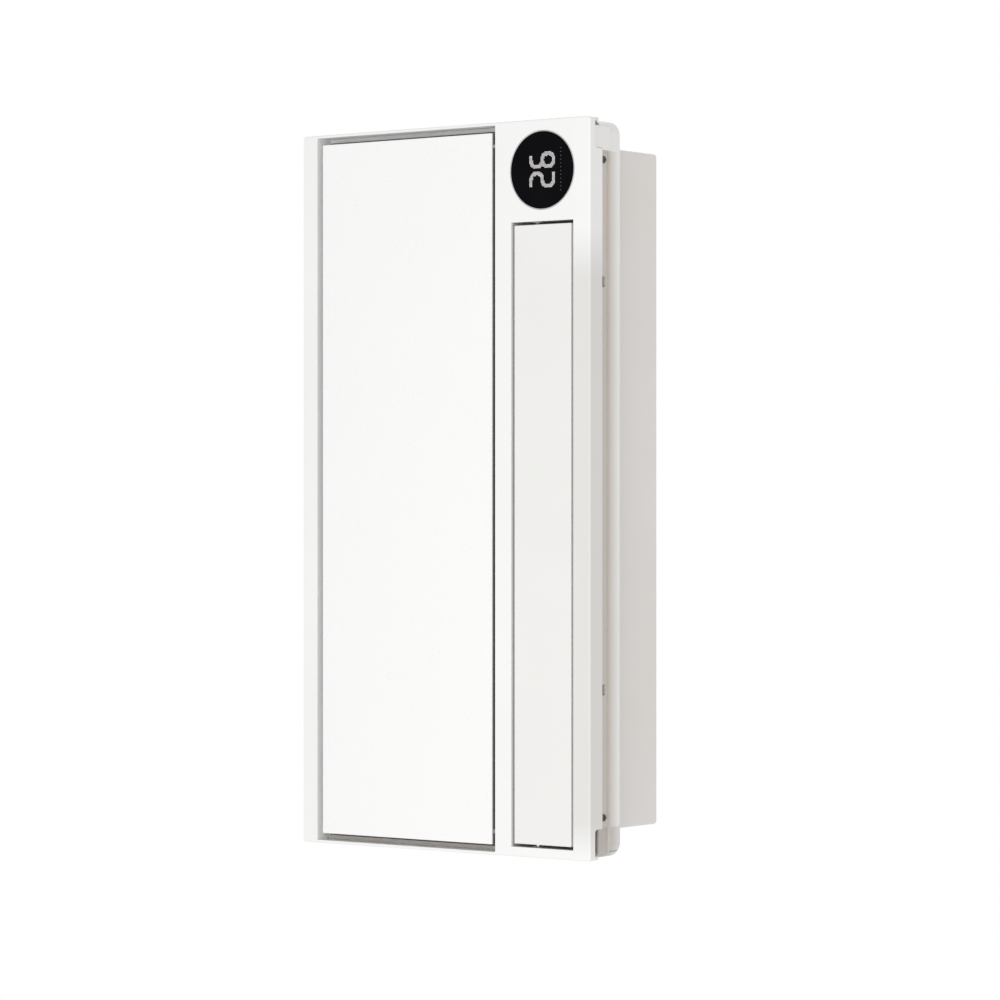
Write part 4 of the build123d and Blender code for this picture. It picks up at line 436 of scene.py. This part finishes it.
def make_materials():
    """One material for each kind of finish, and the nodes that wear it."""
    board_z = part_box("display_board")[0].z + BOARD_THICKNESS
    control_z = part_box("control_board")[0].z + BOARD_THICKNESS
    finishes = [
        (face_plastic(), ["face_frame"]),
        (tray_plastic(), ["mounting_tray"]),
        (powder_coat("housing_paint", (0.82, 0.80, 0.775)), ["housing"]),
        (opal_panel(), ["lamp_diffuser"]),
        (moulded("louver_plastic", (0.865, 0.86, 0.845), 0.34), ["louver_vane"]),
        (moulded("light_guide", (0.88, 0.93, 0.94), 0.08, spread=0.004), ["lamp_light_guide"]),
        (moulded("light_strip", (0.92, 0.87, 0.55), 0.4, spread=0.06), ["lamp_led_strips"]),
        (galvanised("zinc_sheet", (0.70, 0.72, 0.74)),
         ["lamp_back_plate", "louver_motor_bracket", "outlet_plenum", "lamp_driver"]),
        (brushed("bright_steel", STEEL, 0.25),
         ["lamp_hinge_pins", "louver_pin", "louver_motor_shaft", "flap_pin"]),
        (brushed("upright_steel", STEEL, 0.25, along=UPRIGHT),
         ["fan_shaft", "damper_shaft", "fan_bearings"]),
        (brushed("screw_steel", (0.50, 0.50, 0.49), 0.35), ["flange_screws", "spigot_screws"]),
        (brushed("dark_screw_steel", (0.10, 0.095, 0.09), 0.5, metallic=0.5), ["frame_screws"]),
        (brushed("motor_can", (0.60, 0.61, 0.62), 0.3),
         ["louver_motor", "fan_motor", "damper_motor"]),
        (brushed("fin_aluminium", (0.80, 0.81, 0.82), 0.3, along=UPRIGHT),
         ["heater_bars", "heater_fins"]),
        (brushed("silver_ring", (0.72, 0.72, 0.73), 0.22), ["display_bezel"]),
        (moulded("magnet_ferrite", (0.035, 0.035, 0.038), 0.6, spread=0.1), ["lamp_catch_magnets"]),
        (moulded("acetal", (0.86, 0.85, 0.81), 0.35), ["lamp_hinge_arms", "lamp_catches"]),
        (moulded("grey_acetal", (0.30, 0.295, 0.29), 0.4, spread=0.03),
         ["louver_bushes", "louver_sector", "louver_pinion"]),
        (moulded("duct_plastic", (0.64, 0.63, 0.62), 0.5, spread=0.03), ["outlet_duct"]),
        (moulded("heat_proof_black", (0.035, 0.035, 0.037), 0.5, spread=0.1),
         ["heater_frame", "thermal_cutout", "display_module"]),
        (moulded("fan_black", (0.045, 0.045, 0.048), 0.45, spread=0.1),
         ["fan_impeller", "damper_flap"]),
        (moulded("blower_grey", (0.28, 0.285, 0.29), 0.5, spread=0.04),
         ["scroll_casing", "scroll_cover", "inlet_ring", "switching_chamber"]),
        (moulded("grille_plastic", (0.80, 0.80, 0.79), 0.45), ["inlet_grille", "backdraft_flap"]),
        (black_glass("display_glass"), ["display_glass"]),
        (circuit_board("display_circuit", board_z), ["display_board"]),
        (circuit_board("control_circuit", control_z), ["control_board"]),
        (moulded("box_plastic", (0.55, 0.56, 0.56), 0.45, spread=0.02),
         ["control_base", "control_cover"]),
        (moulded("white_nylon", (0.86, 0.86, 0.85), 0.4),
         ["terminal_block", "cable_gland", "duct_spigot"]),
    ]
    for surface, names in finishes:
        for name in names:
            materials = NODES[name].data.materials
            materials.clear()
            materials.append(surface.material)


# Display digits

DIGIT_WIDTH = 13.9 * MM
DIGIT_HEIGHT = 26.2 * MM
DIGIT_GAP = 2.0 * MM
STROKE = 3.6 * MM
CORNER = 5.1 * MM
CORNER_STEPS = 4
NUMBER = "26"
DIGIT_COLOUR = (0.62, 0.60, 0.60)
DIGIT_GLOW = 0.42
DOT_PITCH = 0.95 * MM
DOT_R = 0.42 * MM
DOT_SIDES = 6
DOT_PROUD = 0.05 * MM
ICON_DOT_PITCH = 3.1 * MM
ICON_DOT_R = 0.28 * MM
ICON_DOT_COUNT = 12
ICON_OFFSET = 18.5 * MM
ICON_COLOUR = (0.25, 0.25, 0.26)
ICON_GLOW = 0.14

# Corners of each digit's stroke, as shares of its width and height
STROKES = {
    "2": [(0.1, 1), (1, 1), (1, 0.5), (0, 0.5), (0, 0), (0.95, 0)],
    "6": [(0.75, 1), (0, 1), (0, 0.5), (1, 0.5), (1, 0), (0, 0), (0, 0.5), (0.5, 0.5)],
}


def to_segment(point, start, end):
    """The distance from a point to a straight stretch."""
    along = end - start
    share = max(0, min(1, (point - start).dot(along) / along.length_squared))
    return (point - start - along * share).length


def rounded(corners):
    """A stroke's corners, with each inner one replaced by a short arc."""
    points = [corners[0]]
    for before, here, after in zip(corners, corners[1:], corners[2:]):
        enter = here + (before - here).normalized() * CORNER
        leave = here + (after - here).normalized() * CORNER
        for step in range(CORNER_STEPS + 1):
            t = step / CORNER_STEPS
            points.append(enter * (1 - t) ** 2 + here * 2 * t * (1 - t) + leave * t ** 2)
    return points + [corners[-1]]


def digit_dots(character):
    """Dot centres, from the digit's lower left corner, that its stroke covers."""
    w, h = DIGIT_WIDTH - STROKE, DIGIT_HEIGHT - STROKE
    corners = [Vector((STROKE / 2 + u * w, STROKE / 2 + v * h)) for u, v in STROKES[character]]
    line = rounded(corners)
    columns, rows = int(DIGIT_WIDTH / DOT_PITCH), int(DIGIT_HEIGHT / DOT_PITCH)
    dots = []
    for i in range(columns + 1):
        for j in range(rows + 1):
            dot = Vector((i * DOT_PITCH, j * DOT_PITCH))
            if min(to_segment(dot, a, b) for a, b in zip(line, line[1:])) <= STROKE / 2 - DOT_R / 2:
                dots.append(dot)
    return dots


def add_dots(name, centres, radius, colour, strength):
    """Small raised light dots on the display's window, in one piece."""
    window_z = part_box("display_glass")[0].z
    mesh = bmesh.new()
    for x, y in centres:
        ring = [(x + radius * math.cos(a), y + radius * math.sin(a))
                for a in (2 * math.pi * k / DOT_SIDES for k in range(DOT_SIDES))]
        low = [mesh.verts.new((px, py, window_z - DOT_PROUD)) for px, py in ring]
        high = [mesh.verts.new((px, py, window_z + DOT_PROUD)) for px, py in ring]
        mesh.faces.new(reversed(low))
        mesh.faces.new(high)
        for k in range(DOT_SIDES):
            m = (k + 1) % DOT_SIDES
            mesh.faces.new((low[k], low[m], high[m], high[k]))
    data = bpy.data.meshes.new(name)
    mesh.to_mesh(data)
    mesh.free()
    piece = bpy.data.objects.new(name, data)
    bpy.context.scene.collection.objects.link(piece)
    surface = Surface(name, colour, 0.5)
    surface.shader.inputs["Emission Color"].default_value = (*colour, 1)
    surface.shader.inputs["Emission Strength"].default_value = strength
    surface.tone(0.05, 300)
    data.materials.append(surface.material)
    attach(piece, "heater_body")


def make_digits():
    """A plain two-digit number that reads along the face, and a faint column of small dots."""
    low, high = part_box("display_glass")
    centre = (low + high) / 2
    pitch = DIGIT_WIDTH + DIGIT_GAP
    total = len(NUMBER) * pitch - DIGIT_GAP
    centres = []
    for place, character in enumerate(NUMBER):
        start = -total / 2 + place * pitch
        for dot in digit_dots(character):
            u, v = start + dot.x, dot.y - DIGIT_HEIGHT / 2
            centres.append((centre.x + u, centre.y - v))
    add_dots("display_digits", centres, DOT_R, DIGIT_COLOUR, DIGIT_GLOW)
    column = []
    for i in range(ICON_DOT_COUNT):
        x = centre.x + (i - (ICON_DOT_COUNT - 1) / 2) * ICON_DOT_PITCH
        column.append((x, centre.y + ICON_OFFSET))
    add_dots("display_small_dots", column, ICON_DOT_R, ICON_COLOUR, ICON_GLOW)


make_camera()
make_world()
make_floor()
make_lights()
make_materials()
make_digits()

bpy.context.scene.view_settings.view_transform = "Standard"

bpy.context.view_layer.update()
